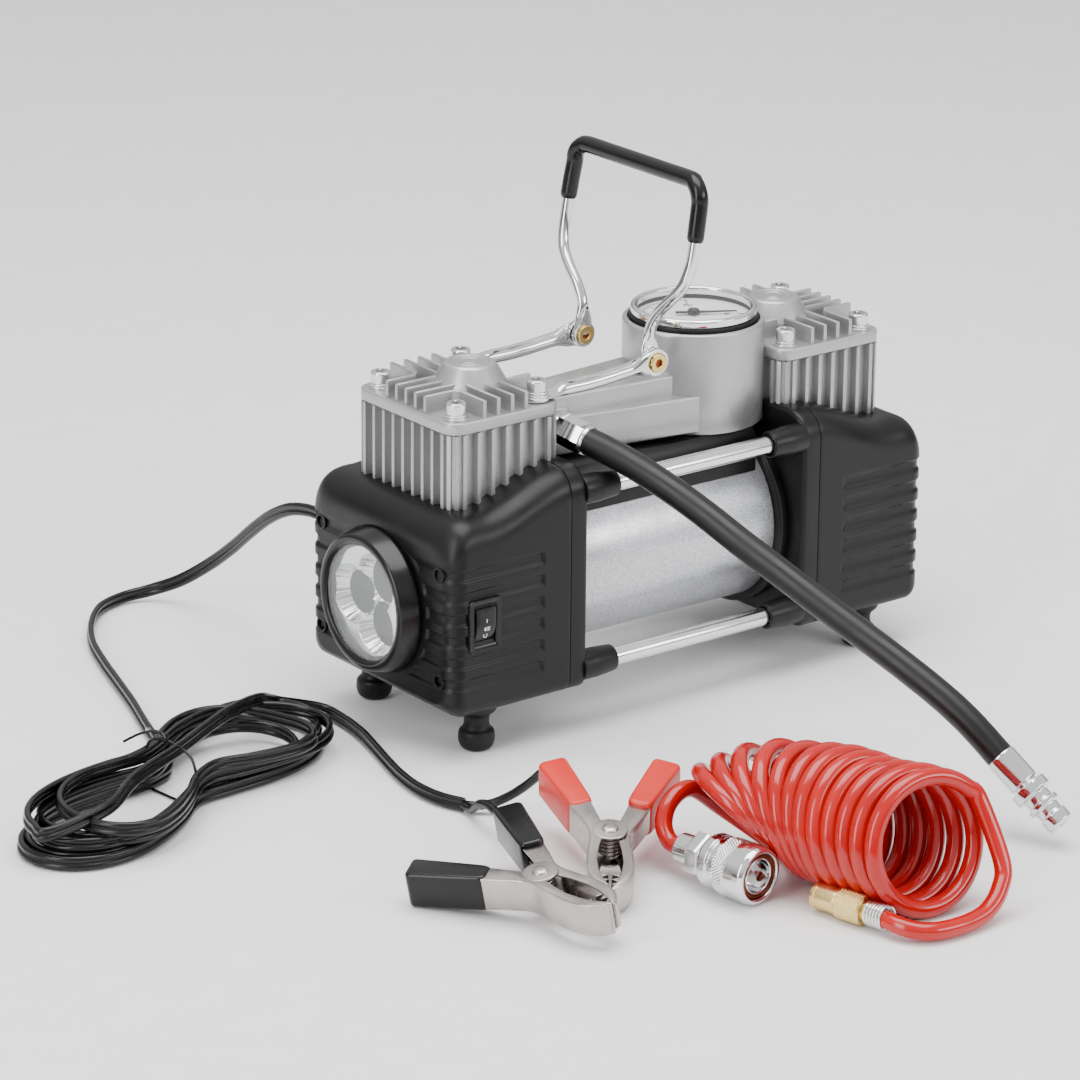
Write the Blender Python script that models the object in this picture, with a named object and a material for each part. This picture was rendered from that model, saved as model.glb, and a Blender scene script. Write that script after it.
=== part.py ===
"""Twin-cylinder twelve-volt air compressor with its cable, clamps and air hoses.

The frame is in metres: +Z up, +X along the motor from the lamp end to the rear end, and the
origin on the floor at the middle of the body's box. U is the distance along X from MID_X.
"""

import math

import bmesh
import bpy
from mathutils import Matrix, Vector

MM = 0.001
GAP = 0.3 * MM

# Whole machine
MID_X = 5.0 * MM
HEAD_U = 88.65 * MM
MOTOR_Z = 64.6 * MM
MOTOR_R = 39.3 * MM
MOTOR_WALL = 2.0 * MM
TUBE_U = 53.6 * MM
FLANGE_R = 42.8 * MM
SHAFT_R = 4.0 * MM

# Housings
INNER_U = 59.0 * MM
SEAM_U = 68.0 * MM
END_U = 130.0 * MM
HALF_W = 52.0 * MM
BASE_Z = 21.0 * MM
WALL = 2.6 * MM
ROOF_LOW = 106.0 * MM
ROOF_RISE = 13.0 * MM
TOP_R = 12.0 * MM
SIDE_R = 8.0 * MM
FOOT_R = 5.0 * MM
GROOVE_TOP_Z = 84.0 * MM
GROOVE_PITCH = 9.6 * MM
GROOVE_H = 4.6 * MM
GROOVE_DEEP = 1.0 * MM
GROOVE_FROM_U = 82.5 * MM
GROOVES = 6
SCREW_HOLE_Y = 42.2 * MM
SCREW_HOLE_Z = (83.3 * MM, 36.6 * MM)

# Tie rods
ROD_R = 4.0 * MM
ROD_Y = 47.0 * MM
ROD_Z = {"upper": 108.0 * MM, "lower": 29.4 * MM}
SOCKET_R = 6.5 * MM
SOCKET_U = 42.3 * MM

# Cylinders and heads
BLOCK_X = 28.8 * MM
BLOCK_Y = 34.6 * MM
BLOCK_R = 7.0 * MM
BLOCK_Z = (98.0 * MM, 138.0 * MM)
BORE_R = 18.0 * MM
FIN_DEEP = 3.4 * MM
FIN_T = 1.9 * MM
PLATE_TOP_Z = 143.5 * MM
FIN_TOP_Z = 151.0 * MM
TOP_FIN_T = 1.6 * MM
DOME_SHIFT = 5.7 * MM
DOME_R = (16.0 * MM, 10.5 * MM)
SCREW_X = 20.85 * MM
SCREW_Y = 26.7 * MM

# Crank train
MODULE = 1.0 * MM
PINION_TEETH = 10
GEAR_TEETH = 32
GEAR_Z = MOTOR_Z - MODULE * (PINION_TEETH + GEAR_TEETH) / 2
THROW = 11.0 * MM
PISTON_TOP_Z = 131.0 * MM

# Manifold and gauge
POD_X = MID_X + 38.0 * MM
POD_R = 31.0 * MM
POD_BASE_Z = 110.6 * MM
POD_TOP_Z = 155.5 * MM
POD_FLAT_U = 59.5 * MM
ARM_TOP_Z = 137.0 * MM
GAUGE_R = 27.5 * MM
NEEDLE_REST = -30.0

# Handle
PIVOT_X = MID_X - 4.2 * MM
PIVOT_Z = 148.6 * MM
ARM_R = 3.2 * MM
WIRE_R = 2.5 * MM
GRIP_R = 3.7 * MM
BAIL_TOP_Z = 229.0 * MM

# Lamp and switch
LAMP_Z = 60.9 * MM
SWITCH_X = MID_X - 113.1 * MM
SWITCH_Z = 61.2 * MM
SWITCH_SIZE = (16.6 * MM, 23.1 * MM)
ROCKER_REST = 9.0
ROCKER_Y = -49.3 * MM
GLAND_X = -107.0 * MM

# Feet
FOOT_U = 106.0 * MM
FOOT_Y = 37.0 * MM

# Cords: radius, and the points of each route, in millimetres
HOSE_R = 6.0 * MM
HOSE_ROUTE = [(-43.2, -36.0, 124.6), (-38.0, -52.6, 120.4), (-32.3, -72.1, 113.8), (-26.5, -91.5, 105.6),
              (-20.9, -110.8, 96.2), (-15.1, -129.9, 87.2), (-9.4, -148.8, 78.2), (-3.7, -167.6, 69.6),
              (1.9, -186.2, 61.0), (7.5, -204.8, 51.6), (11.7, -218.6, 43.0), (15.9, -232.6, 32.0)]
CABLE_R = 3.0 * MM
CABLE_ROUTE = [(-107.0, 66.4, 75.4), (-107.0, 78.0, 74.6), (-107.0, 92.0, 71.0), (-106.0, 108.0, 63.0),
               (-104.0, 126.0, 51.0), (-102.0, 145.0, 37.0), (-102.0, 164.0, 23.5), (-106.0, 181.0, 12.0),
               (-114.0, 193.0, 5.5), (-127.0, 197.0, 3.4), (-143.0, 191.0, 3.3), (-158.0, 175.0, 3.3),
               (-170.0, 155.0, 3.3), (-179.0, 132.0, 3.3), (-187.0, 108.0, 3.3), (-195.0, 84.0, 3.3),
               (-204.0, 60.0, 3.3), (-214.0, 41.0, 4.0)]
CLIP_ROUTE = [(-143.5, 35.0, 8.0), (-135.5, 27.0, 4.6), (-133.5, 14.0, 3.3), (-136.0, -2.0, 3.3),
              (-140.5, -18.0, 3.3), (-145.5, -34.0, 3.3), (-150.0, -50.0, 3.3), (-152.5, -66.0, 3.3),
              (-151.5, -80.0, 3.3), (-147.5, -91.0, 3.3)]
LEAD_R = 1.9 * MM
RED_ROUTE = [(-145.2, -93.9, 3.4), (-139.0, -99.0, 4.6), (-134.6, -104.6, 8.6), (-132.0, -110.4, 13.6),
             (-130.8, -116.0, 18.8), (-130.6, -122.0, 24.2)]
BLACK_ROUTE = [(-147.5, -96.7, 3.4), (-149.5, -101.5, 6.5), (-151.0, -107.0, 10.0), (-151.5, -113.0, 11.5),
               (-152.0, -119.5, 10.5), (-153.8, -126.5, 10.8), (-157.0, -133.5, 13.6), (-161.0, -139.8, 17.6),
               (-164.2, -144.2, 20.2)]

# Hank of spare cable
HANK_AT = (-233.0 * MM, -8.0 * MM)
HANK_TURN = math.radians(20.6)
HANK_HALF = 95.0 * MM
HANK_W = (33.0 * MM, 17.0 * MM)
HANK_H = 24.0 * MM

# Battery clamps
CLIP_HALF_W = 6.9 * MM
CLIPS = {
    "red": ((-140.9, -178.5, 14.7), -127.8, 11.2, 0.0, 25.1),
    "black": ((-187.2, -195.7, 14.3), -83.7, 0.0, 12.4, 28.9),
}

# Recoil hose
COIL_FRONT = (-57.0 * MM, -288.0 * MM)
COIL_BACK = (-79.0 * MM, -182.0 * MM)
COIL_R = 30.0 * MM
RECOIL_R = 3.6 * MM
COUPLER = ((-116.8, -194.0, 12.3), (-110.8, -235.1, 12.3))
COUPLER_TAIL = [(-105.6, -183.2, 33.0), (-106.4, -180.2, 26.0), (-109.0, -177.6, 19.5), (-113.0, -177.4, 15.0),
                (-116.3, -181.4, 12.8), (-117.6, -187.0, 12.3), (-117.0, -192.9, 12.3)]
CHUCK = ((-89.0, -279.0, 6.3), (-95.0, -250.0, 6.3))
CHUCK_TAIL = [(-66.0, -297.5, 4.5), (-76.0, -301.0, 4.4), (-84.5, -297.5, 4.9), (-87.6, -290.0, 5.8),
              (-88.6, -284.5, 6.3)]

PAINTS = {
    "black_plastic": ((0.018, 0.018, 0.019, 1), 0.0, 0.42),
    "silver_paint": ((0.56, 0.56, 0.55, 1), 0.6, 0.38),
    "flake_paint": ((0.52, 0.53, 0.55, 1), 0.8, 0.4),
    "chrome": ((0.85, 0.85, 0.86, 1), 1.0, 0.08),
    "steel": ((0.6, 0.6, 0.6, 1), 1.0, 0.3),
    "brass": ((0.78, 0.57, 0.2, 1), 1.0, 0.3),
    "rubber": ((0.022, 0.022, 0.022, 1), 0.0, 0.6),
    "cable": ((0.02, 0.02, 0.02, 1), 0.0, 0.35),
    "dial": ((0.85, 0.85, 0.83, 1), 0.0, 0.5),
    "lens": ((0.9, 0.92, 0.93, 1), 0.0, 0.05),
    "mirror": ((0.9, 0.9, 0.9, 1), 1.0, 0.1),
    "magnet": ((0.08, 0.08, 0.085, 1), 0.2, 0.6),
    "winding": ((0.45, 0.22, 0.1, 1), 0.7, 0.4),
    "red_plastic": ((0.8, 0.05, 0.03, 1), 0.0, 0.4),
    "red_hose": ((0.8, 0.03, 0.02, 1), 0.0, 0.25),
}


# ---------------------------------------------------------------- scene and helpers

def clear_scene():
    for thing in list(bpy.data.objects):
        bpy.data.objects.remove(thing, do_unlink=True)


def new_collection(name):
    group = bpy.data.collections.new(name)
    bpy.context.scene.collection.children.link(group)
    return group


clear_scene()
PARTS = new_collection("twin_stack_compressor")
CUTTERS = new_collection("cutters")


def paint(name):
    """A Principled material for one finish, made once."""
    found = bpy.data.materials.get(name)
    if found:
        return found
    colour, metal, rough = PAINTS[name]
    made = bpy.data.materials.new(name)
    made.use_nodes = True
    shader = made.node_tree.nodes["Principled BSDF"]
    shader.inputs["Base Color"].default_value = colour
    shader.inputs["Metallic"].default_value = metal
    shader.inputs["Roughness"].default_value = rough
    return made


def add(name, bm, finish=None):
    """Turns a bmesh into an object, among the parts if it has a finish, else a cutter."""
    mesh = bpy.data.meshes.new(name)
    bmesh.ops.recalc_face_normals(bm, faces=bm.faces)
    if bm.calc_volume(signed=True) < 0:
        bmesh.ops.reverse_faces(bm, faces=bm.faces)
    bm.to_mesh(mesh)
    bm.free()
    thing = bpy.data.objects.new(name, mesh)
    if finish:
        mesh.materials.append(paint(finish))
        mesh.shade_smooth()
        mesh.set_sharp_from_angle(angle=math.radians(32))
        PARTS.objects.link(thing)
    else:
        thing.hide_render = True
        thing.display_type = "WIRE"
        CUTTERS.objects.link(thing)
    return thing


def boolean(thing, tool, operation):
    step = thing.modifiers.new(tool.name, "BOOLEAN")
    step.operation = operation
    step.solver = "EXACT"
    step.object = tool
    return thing


def cut(thing, *tools):
    for tool in tools:
        boolean(thing, tool, "DIFFERENCE")
    return thing


def join(thing, *tools):
    for tool in tools:
        boolean(thing, tool, "UNION")
    return thing


def along(start, end):
    """Matrix whose Z runs from start towards end, with its origin at start."""
    direction = Vector(end) - Vector(start)
    turn = direction.to_track_quat("Z", "Y").to_matrix().to_4x4()
    return Matrix.Translation(start) @ turn


def box(name, low, high, finish=None):
    bm = bmesh.new()
    bmesh.ops.create_cube(bm, size=1.0)
    size = Vector(high) - Vector(low)
    middle = (Vector(high) + Vector(low)) / 2
    bmesh.ops.scale(bm, vec=size, verts=bm.verts)
    bmesh.ops.translate(bm, vec=middle, verts=bm.verts)
    return add(name, bm, finish)


def cylinder(name, start, end, radius, finish=None, sides=24, end_radius=None):
    length = (Vector(end) - Vector(start)).length
    bm = bmesh.new()
    place = along(start, end) @ Matrix.Translation((0, 0, length / 2))
    bmesh.ops.create_cone(bm, cap_ends=True, segments=sides, radius1=radius, matrix=place,
                          radius2=radius if end_radius is None else end_radius, depth=length)
    return add(name, bm, finish)


def turned(name, profile, place, finish=None, sides=24):
    """A closed profile of (radius, height) spun about the Z of a matrix.

    A profile that starts and ends on the axis is closed there, any other on itself.
    """
    bm = bmesh.new()
    line = [bm.verts.new((radius, 0, height)) for radius, height in profile]
    pairs = list(zip(line, line[1:]))
    if profile[0][0] > 0:
        pairs.append((line[-1], line[0]))
    edges = [bm.edges.new(pair) for pair in pairs]
    bmesh.ops.spin(bm, geom=line + edges, cent=(0, 0, 0), axis=(0, 0, 1), angle=2 * math.pi, steps=sides)
    bmesh.ops.remove_doubles(bm, verts=bm.verts, dist=1e-6)
    bm.transform(place)
    return add(name, bm, finish)


def prism(name, outline, low, high, finish=None, place=None):
    """A flat outline in X and Y extruded from low to high along Z, then moved by a matrix."""
    bm = bmesh.new()
    base = bm.faces.new([bm.verts.new((x, y, low)) for x, y in outline])
    raised = bmesh.ops.extrude_face_region(bm, geom=[base])["geom"]
    top = [part for part in raised if isinstance(part, bmesh.types.BMVert)]
    bmesh.ops.translate(bm, vec=(0, 0, high - low), verts=top)
    if place is not None:
        bm.transform(place)
    return add(name, bm, finish)


def arc(centre, radius, start, end, steps):
    """Points of an arc, angles in degrees."""
    points = []
    for k in range(steps + 1):
        angle = math.radians(start + (end - start) * k / steps)
        points.append((centre[0] + radius * math.cos(angle), centre[1] + radius * math.sin(angle)))
    return points


def rounded(low, high, radius, steps=3):
    """A rectangle's outline with round corners, anticlockwise."""
    spots = [(high[0], low[1], -90), (high[0], high[1], 0), (low[0], high[1], 90), (low[0], low[1], 180)]
    points = []
    for x, y, start in spots:
        centre = (x - math.copysign(radius, x - (low[0] + high[0]) / 2),
                  y - math.copysign(radius, y - (low[1] + high[1]) / 2))
        points += arc(centre, radius, start, start + 90, steps)
    return points


def smooth_route(points, spacing):
    """Points a spacing apart on a Catmull-Rom curve through the given millimetre points."""
    ends = [Vector(p) * MM for p in points]
    padded = [2 * ends[0] - ends[1]] + ends + [2 * ends[-1] - ends[-2]]
    fine = []
    for a, b, c, d in zip(padded, padded[1:], padded[2:], padded[3:]):
        for k in range(12):
            t = k / 12
            fine.append(0.5 * (2 * b + (c - a) * t + (2 * a - 5 * b + 4 * c - d) * t * t
                               + (3 * b - a - 3 * c + d) * t ** 3))
    fine.append(ends[-1])
    reach = [0.0]
    for a, b in zip(fine, fine[1:]):
        reach.append(reach[-1] + (b - a).length)
    count = max(2, round(reach[-1] / spacing))
    route, k = [], 0
    for step in range(count + 1):
        goal = reach[-1] * step / count
        while k < len(reach) - 2 and reach[k + 1] < goal:
            k += 1
        share = (goal - reach[k]) / max(reach[k + 1] - reach[k], 1e-9)
        route.append(fine[k].lerp(fine[k + 1], min(share, 1.0)))
    return route


def tube(name, route, radius, finish, resolution=1):
    """A cord, wire or rail: a POLY curve with a round bevel and filled ends."""
    data = bpy.data.curves.new(name, "CURVE")
    data.dimensions = "3D"
    data.bevel_depth = radius
    data.bevel_resolution = resolution
    data.use_fill_caps = True
    line = data.splines.new("POLY")
    line.points.add(len(route) - 1)
    for point, spot in zip(line.points, route):
        point.co = (*spot, 1.0)
    thing = bpy.data.objects.new(name, data)
    if finish:
        data.materials.append(paint(finish))
    PARTS.objects.link(thing)
    return thing


def tube_mesh(name, route, radius, finish=None, resolution=2):
    """The same tube as a closed mesh, for joining and cutting."""
    curve = tube(name + "_curve", route, radius, finish, resolution)
    bpy.context.view_layer.update()
    graph = bpy.context.evaluated_depsgraph_get()
    mesh = bpy.data.meshes.new_from_object(curve.evaluated_get(graph))
    bm = bmesh.new()
    bm.from_mesh(mesh)
    bmesh.ops.remove_doubles(bm, verts=bm.verts, dist=1e-6)
    bpy.data.objects.remove(curve, do_unlink=True)
    return add(name, bm, finish)


def sleeve(name, route, outer, inner, finish, sides=8):
    """A hollow tube along a flat route: a ring of the wall at each point, joined to the next."""
    bm = bmesh.new()
    across = (route[-1] - route[0]).cross(route[len(route) // 2] - route[0]).normalized()
    walls = []
    for k, spot in enumerate(route):
        ahead = (route[min(k + 1, len(route) - 1)] - route[max(k - 1, 0)]).normalized()
        side = across.cross(ahead).normalized()
        up = ahead.cross(side)
        turns = [2 * math.pi * j / sides for j in range(sides)]
        walls.append([[bm.verts.new(spot + (side * math.cos(a) + up * math.sin(a)) * radius) for a in turns]
                      for radius in (outer, inner)])
    for (out_a, in_a), (out_b, in_b) in zip(walls, walls[1:]):
        for j in range(sides):
            n = (j + 1) % sides
            bm.faces.new((out_a[j], out_a[n], out_b[n], out_b[j]))
            bm.faces.new((in_a[n], in_a[j], in_b[j], in_b[n]))
    for out, inn in (walls[0], walls[-1]):
        for j in range(sides):
            n = (j + 1) % sides
            bm.faces.new((out[n], out[j], inn[j], inn[n]))
    return add(name, bm, finish)


def at_u(side, u):
    """X of a distance u from the middle, on the front (-1) or rear (1) side."""
    return MID_X + side * u


# ---------------------------------------------------------------- housings

def roof(u):
    """Height of a housing's top, which rises in an S curve towards the motor."""
    share = min(max((112 * MM - u) / (46 * MM), 0.0), 1.0)
    return ROOF_LOW + ROOF_RISE * share * share * (3 - 2 * share)


def section(side, u, inset, steps=3):
    """One ring of a housing: a rectangle in Y and Z with large top and small bottom corners."""
    past = max(0.0, u - (END_U - SIDE_R))
    end_inset = SIDE_R - math.sqrt(max(SIDE_R ** 2 - past ** 2, 0.0))
    past_top = max(0.0, u - (END_U - 14 * MM))
    top_inset = 14 * MM - math.sqrt(max((14 * MM) ** 2 - past_top ** 2, 0.0))
    half = HALF_W - end_inset - inset
    top = roof(u) - top_inset - inset
    base = BASE_Z + min(end_inset, FOOT_R) + inset
    top_r = max(TOP_R - inset, 1 * MM)
    foot_r = max(FOOT_R - inset, 1 * MM)
    ring = arc((half - foot_r, base + foot_r), foot_r, -90, 0, steps)
    ring += arc((half - top_r, top - top_r), top_r, 0, 90, steps)
    ring += arc((-half + top_r, top - top_r), top_r, 90, 180, steps)
    ring += arc((-half + foot_r, base + foot_r), foot_r, 180, 270, steps)
    return [Vector((at_u(side, u), y, z)) for y, z in ring]


def loft(name, rings, finish=None):
    """A closed solid through rings that all have the same number of points."""
    bm = bmesh.new()
    made = [[bm.verts.new(p) for p in ring] for ring in rings]
    for lower, upper in zip(made, made[1:]):
        for k in range(len(lower)):
            n = (k + 1) % len(lower)
            bm.faces.new((lower[k], lower[n], upper[n], upper[k]))
    bm.faces.new(made[0])
    bm.faces.new(made[-1])
    return add(name, bm, finish)


def housing_steps(start, end, count, turns):
    """U of each ring from start to end: an even run, then the given degrees round the edge."""
    flat = [start + (END_U - 14 * MM - start) * k / count for k in range(count + 1)]
    edge = [END_U - 14 * MM + 14 * MM * math.sin(math.radians(a)) for a in turns]
    return [u for u in flat + edge if u < end - 0.1 * MM] + [end]


def groove_cutters(side):
    """L-shaped bars that press the grooves into a cover's sides and round to its end."""
    tools = []
    for k in range(GROOVES):
        z = GROOVE_TOP_Z - k * GROOVE_PITCH
        reach = math.sqrt(max((35 * MM) ** 2 - (z - LAMP_Z) ** 2, 0.0)) + 1 * MM
        for hand in (1, -1):
            inner_u = END_U - GROOVE_DEEP
            inner_y = HALF_W - GROOVE_DEEP
            bend = SIDE_R - GROOVE_DEEP
            outline = [(GROOVE_FROM_U, HALF_W + 2 * MM), (END_U + 2 * MM, HALF_W + 2 * MM), (END_U + 2 * MM, reach),
                       (inner_u, reach)]
            outline += arc((inner_u - bend, inner_y - bend), bend, 0, 90, 3)
            outline += [(GROOVE_FROM_U, inner_y)]
            flip = [(MID_X + side * u, hand * y) for u, y in outline]
            tools.append(prism(f"groove_{side}_{k}_{hand}", flip, z - GROOVE_H / 2, z + GROOVE_H / 2))
    return tools


def end_cover(name, side):
    """A housing's outer shell, open towards the motor and where the cylinder stands."""
    outer = [section(side, u, 0.0) for u in housing_steps(SEAM_U + GAP, END_U, 3, (25, 47, 68))]
    cover = loft(name, outer, "black_plastic")
    inner_end = END_U - WALL
    inner = [section(side, u, WALL, 2) for u in housing_steps(SEAM_U - 2 * MM, inner_end, 2, (25, 47))]
    cut(cover, loft(name + "_hollow", inner))
    middle = at_u(side, HEAD_U)
    well = rounded((middle - BLOCK_X - 0.6 * MM, -BLOCK_Y - 0.6 * MM),
                   (middle + BLOCK_X + 0.6 * MM, BLOCK_Y + 0.6 * MM), BLOCK_R + 0.6 * MM)
    cut(cover, prism(name + "_well", well, 92 * MM, 130 * MM))
    cut(cover, *groove_cutters(side))
    for y in (-SCREW_HOLE_Y, SCREW_HOLE_Y):
        for k, z in enumerate(SCREW_HOLE_Z):
            cut(cover, cylinder(f"{name}_hole_{k}_{y > 0}", (at_u(side, END_U - 1.9 * MM), y, z),
                                (at_u(side, END_U + 4 * MM), y, z), 2.7 * MM, sides=8))
    return cover


def inner_cover(name, side):
    """The plate between a housing and the motor, with a rim and four sockets for the tie rods."""
    outer = [section(side, u, 0.0) for u in (INNER_U, 62.5 * MM, SEAM_U - GAP)]
    cover = loft(name, outer, "black_plastic")
    inner = [section(side, u, WALL) for u in (62.2 * MM, 65 * MM, SEAM_U + 1 * MM)]
    cut(cover, loft(name + "_hollow", inner))
    notch = (SEAM_U + 2 * MM, INNER_U - 2 * MM)
    low, high = sorted(at_u(side, u) for u in notch)
    cut(cover, box(name + "_notch", (low, -BLOCK_Y - 0.6 * MM, BLOCK_Z[0] - 1 * MM),
                   (high, BLOCK_Y + 0.6 * MM, 130 * MM)))
    for level, z in ROD_Z.items():
        for y in (-ROD_Y, ROD_Y):
            tag = f"{name}_{level}_{y > 0}"
            join(cover, cylinder(tag, (at_u(side, SOCKET_U), y, z), (at_u(side, INNER_U + 1.5 * MM), y, z),
                                 SOCKET_R, sides=16))
            cut(cover, cylinder(tag + "_bore", (at_u(side, SOCKET_U - 2 * MM), y, z),
                                (at_u(side, INNER_U + 2.2 * MM), y, z), ROD_R + GAP, sides=10))
    for z in (MOTOR_Z, GEAR_Z):
        cut(cover, cylinder(f"{name}_bearing_{z:.4f}", (at_u(side, INNER_U - 2 * MM), 0, z),
                            (at_u(side, SEAM_U), 0, z), SHAFT_R + GAP, sides=12))
    return cover


def make_housings():
    """Both end covers and inner covers, with the lamp, switch and cable openings."""
    front = end_cover("front_end_cover", -1)
    cut(front, cylinder("lamp_opening", (at_u(-1, 120 * MM), 0, LAMP_Z), (at_u(-1, 135 * MM), 0, LAMP_Z),
                        27.6 * MM, sides=28))
    wide, tall = 13.6 * MM, 20.0 * MM
    cut(front, box("switch_opening", (SWITCH_X - wide / 2, -60 * MM, SWITCH_Z - tall / 2),
                   (SWITCH_X + wide / 2, -45 * MM, SWITCH_Z + tall / 2)))
    seat_w, seat_h = SWITCH_SIZE[0] / 2 + GAP, SWITCH_SIZE[1] / 2 + GAP
    cut(front, box("switch_seat", (SWITCH_X - seat_w, -60 * MM, SWITCH_Z - seat_h),
                   (SWITCH_X + seat_w, -50.8 * MM, SWITCH_Z + seat_h)))
    cut(front, cylinder("gland_opening", (GLAND_X, 45 * MM, 76 * MM), (GLAND_X, 60 * MM, 76 * MM),
                        4.6 * MM, sides=16))
    end_cover("rear_end_cover", 1)
    inner_cover("front_inner_cover", -1)
    inner_cover("rear_inner_cover", 1)


def make_tie_rods():
    """Four bright rods that clamp the two housings together over the motor."""
    reach = INNER_U + 1.6 * MM
    for level, z in ROD_Z.items():
        for hand, y in (("near", -ROD_Y), ("far", ROD_Y)):
            cylinder(f"tie_rod_{hand}_{level}", (at_u(-1, reach), y, z), (at_u(1, reach), y, z), ROD_R, "chrome", 12)


def make_feet():
    """Four rubber feet: a seat under the housing, a neck and a knob."""
    profile = [(0, 20.7), (8.6, 20.7), (9.0, 19.8), (8.4, 17.6), (5.6, 15.2), (5.2, 12.2), (5.8, 9.6), (7.6, 8.2),
               (7.9, 4.4), (7.0, 1.4), (5.4, 0.0), (0, 0.0)]
    profile = [(r * MM, z * MM) for r, z in profile]
    for end, side in (("front", -1), ("rear", 1)):
        for hand, y in (("near", -FOOT_Y), ("far", FOOT_Y)):
            place = Matrix.Translation((at_u(side, FOOT_U), y, 0))
            turned(f"foot_{end}_{hand}", profile, place, "rubber", 10)


# ---------------------------------------------------------------- motor and crank train

def gear_outline(teeth, phase):
    """Straight-sided teeth round a circle, thinner than half the pitch for backlash."""
    pitch_r = MODULE * teeth / 2
    tip_r, root_r = pitch_r + 0.72 * MODULE, pitch_r - 1.1 * MODULE
    step = 2 * math.pi / teeth
    points = []
    for k in range(teeth):
        middle = phase + k * step
        for share, radius in ((-0.27, root_r), (-0.11, tip_r), (0.11, tip_r), (0.27, root_r)):
            angle = middle + share * step
            points.append((radius * math.cos(angle), radius * math.sin(angle)))
    return points


def make_motor():
    """Tube, end flanges, magnet ring and the armature with a pinion at each end."""
    axis = Matrix.Translation((MID_X, 0, MOTOR_Z)) @ Matrix.Rotation(math.radians(90), 4, "Y")
    inner = MOTOR_R - MOTOR_WALL
    turned("motor_tube", [(inner, -TUBE_U), (MOTOR_R, -TUBE_U), (MOTOR_R, TUBE_U), (inner, TUBE_U)], axis,
           "flake_paint", 36)
    magnet = (31.3 * MM, inner - GAP, 36 * MM)
    turned("motor_magnet_ring", [(magnet[0], -magnet[2]), (magnet[1], -magnet[2]), (magnet[1], magnet[2]),
                                 (magnet[0], magnet[2])], axis, "magnet", 24)
    for name, side in (("front_motor_flange", -1), ("rear_motor_flange", 1)):
        turn = Matrix.Translation((MID_X, 0, MOTOR_Z)) @ Matrix.Rotation(math.radians(90 * side), 4, "Y")
        hole, spigot = SHAFT_R + GAP, inner - GAP
        turned(name, [(hole, 47 * MM), (spigot, 47 * MM), (spigot, TUBE_U + GAP), (FLANGE_R - 1 * MM, TUBE_U + GAP),
                      (FLANGE_R, TUBE_U + 1.3 * MM), (FLANGE_R, INNER_U - GAP), (hole, INNER_U - GAP)],
               turn, "black_plastic", 24)
    core = [(0, -77), (4, -77), (4, -30), (30.9, -30), (30.9, 30), (4, 30), (4, 34), (12, 34), (12, 45), (4, 45),
            (4, 77), (0, 77)]
    armature = turned("armature", [(r * MM, u * MM) for r, u in core], axis, "winding", 14)
    teeth = gear_outline(PINION_TEETH, math.pi)
    for side in (-1, 1):
        low, high = sorted((side * 70 * MM, side * 76.6 * MM))
        join(armature, prism(f"pinion_{side}", teeth, low, high,
                             place=Matrix.Translation((MID_X, 0, MOTOR_Z)) @ upright()))


def upright():
    """Rotation that takes an outline's X to +Z, its Y to +Y and its height to -X, then back to +X."""
    return Matrix(((0, 0, 1, 0), (0, -1, 0, 0), (1, 0, 0, 0), (0, 0, 0, 1)))


def make_crank_gears():
    """A large gear at each end on its own short shaft, with the crank pin on its outer face."""
    teeth = gear_outline(GEAR_TEETH, math.pi / GEAR_TEETH)
    for name, side in (("front_crank_gear", -1), ("rear_crank_gear", 1)):
        low, high = sorted((side * 70.3 * MM, side * 76.4 * MM))
        gear = prism(name, teeth, low, high, "steel", Matrix.Translation((MID_X, 0, GEAR_Z)) @ upright())
        join(gear, cylinder(name + "_shaft", (at_u(side, 59.3 * MM), 0, GEAR_Z), (at_u(side, 74 * MM), 0, GEAR_Z),
                            SHAFT_R, sides=12))
        pin_z = GEAR_Z + THROW
        join(gear, cylinder(name + "_pin", (at_u(side, 74 * MM), 0, pin_z), (at_u(side, 83.4 * MM), 0, pin_z),
                            3.4 * MM, sides=10))


def make_pistons():
    """One-piece pistons: crown, rod and big end in the plane just beyond the crank pin's end."""
    for name, side in (("front_piston", -1), ("rear_piston", 1)):
        x = at_u(side, HEAD_U)
        crown = [(0, 0), (17.2, 0), (17.5, 1), (17.5, 3), (16.6, 3.4), (16.6, 5), (17.5, 5.4), (17.5, 9), (17.0, 10),
                 (0, 10)]
        place = Matrix.Translation((x, 0, PISTON_TOP_Z - 10 * MM))
        piston = turned(name, [(r * MM, z * MM) for r, z in crown], place, "steel", 16)
        big_end = GEAR_Z + THROW
        join(piston, box(name + "_rod", (x - 2.5 * MM, -5 * MM, big_end + 5 * MM),
                         (x + 2.5 * MM, 5 * MM, PISTON_TOP_Z - 9 * MM)))
        low, high = x - 4.2 * MM, x + 4.2 * MM
        join(piston, cylinder(name + "_eye", (low, 0, big_end), (high, 0, big_end), 8 * MM, sides=14))
        cut(piston, cylinder(name + "_eye_hole", (low - 1 * MM, 0, big_end), (high + 1 * MM, 0, big_end),
                             3.8 * MM, sides=10))


# ---------------------------------------------------------------- cylinders and heads

def comb(length, count, depth):
    """Offsets along one edge and their depth, for count fins between two solid corners."""
    pitch = length / count
    points = []
    for k in range(count):
        start = -length / 2 + k * pitch + FIN_T / 2
        end = start + pitch - FIN_T
        points += [(start, 0.0), (start, depth), (end, depth), (end, 0.0)]
    return points


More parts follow.
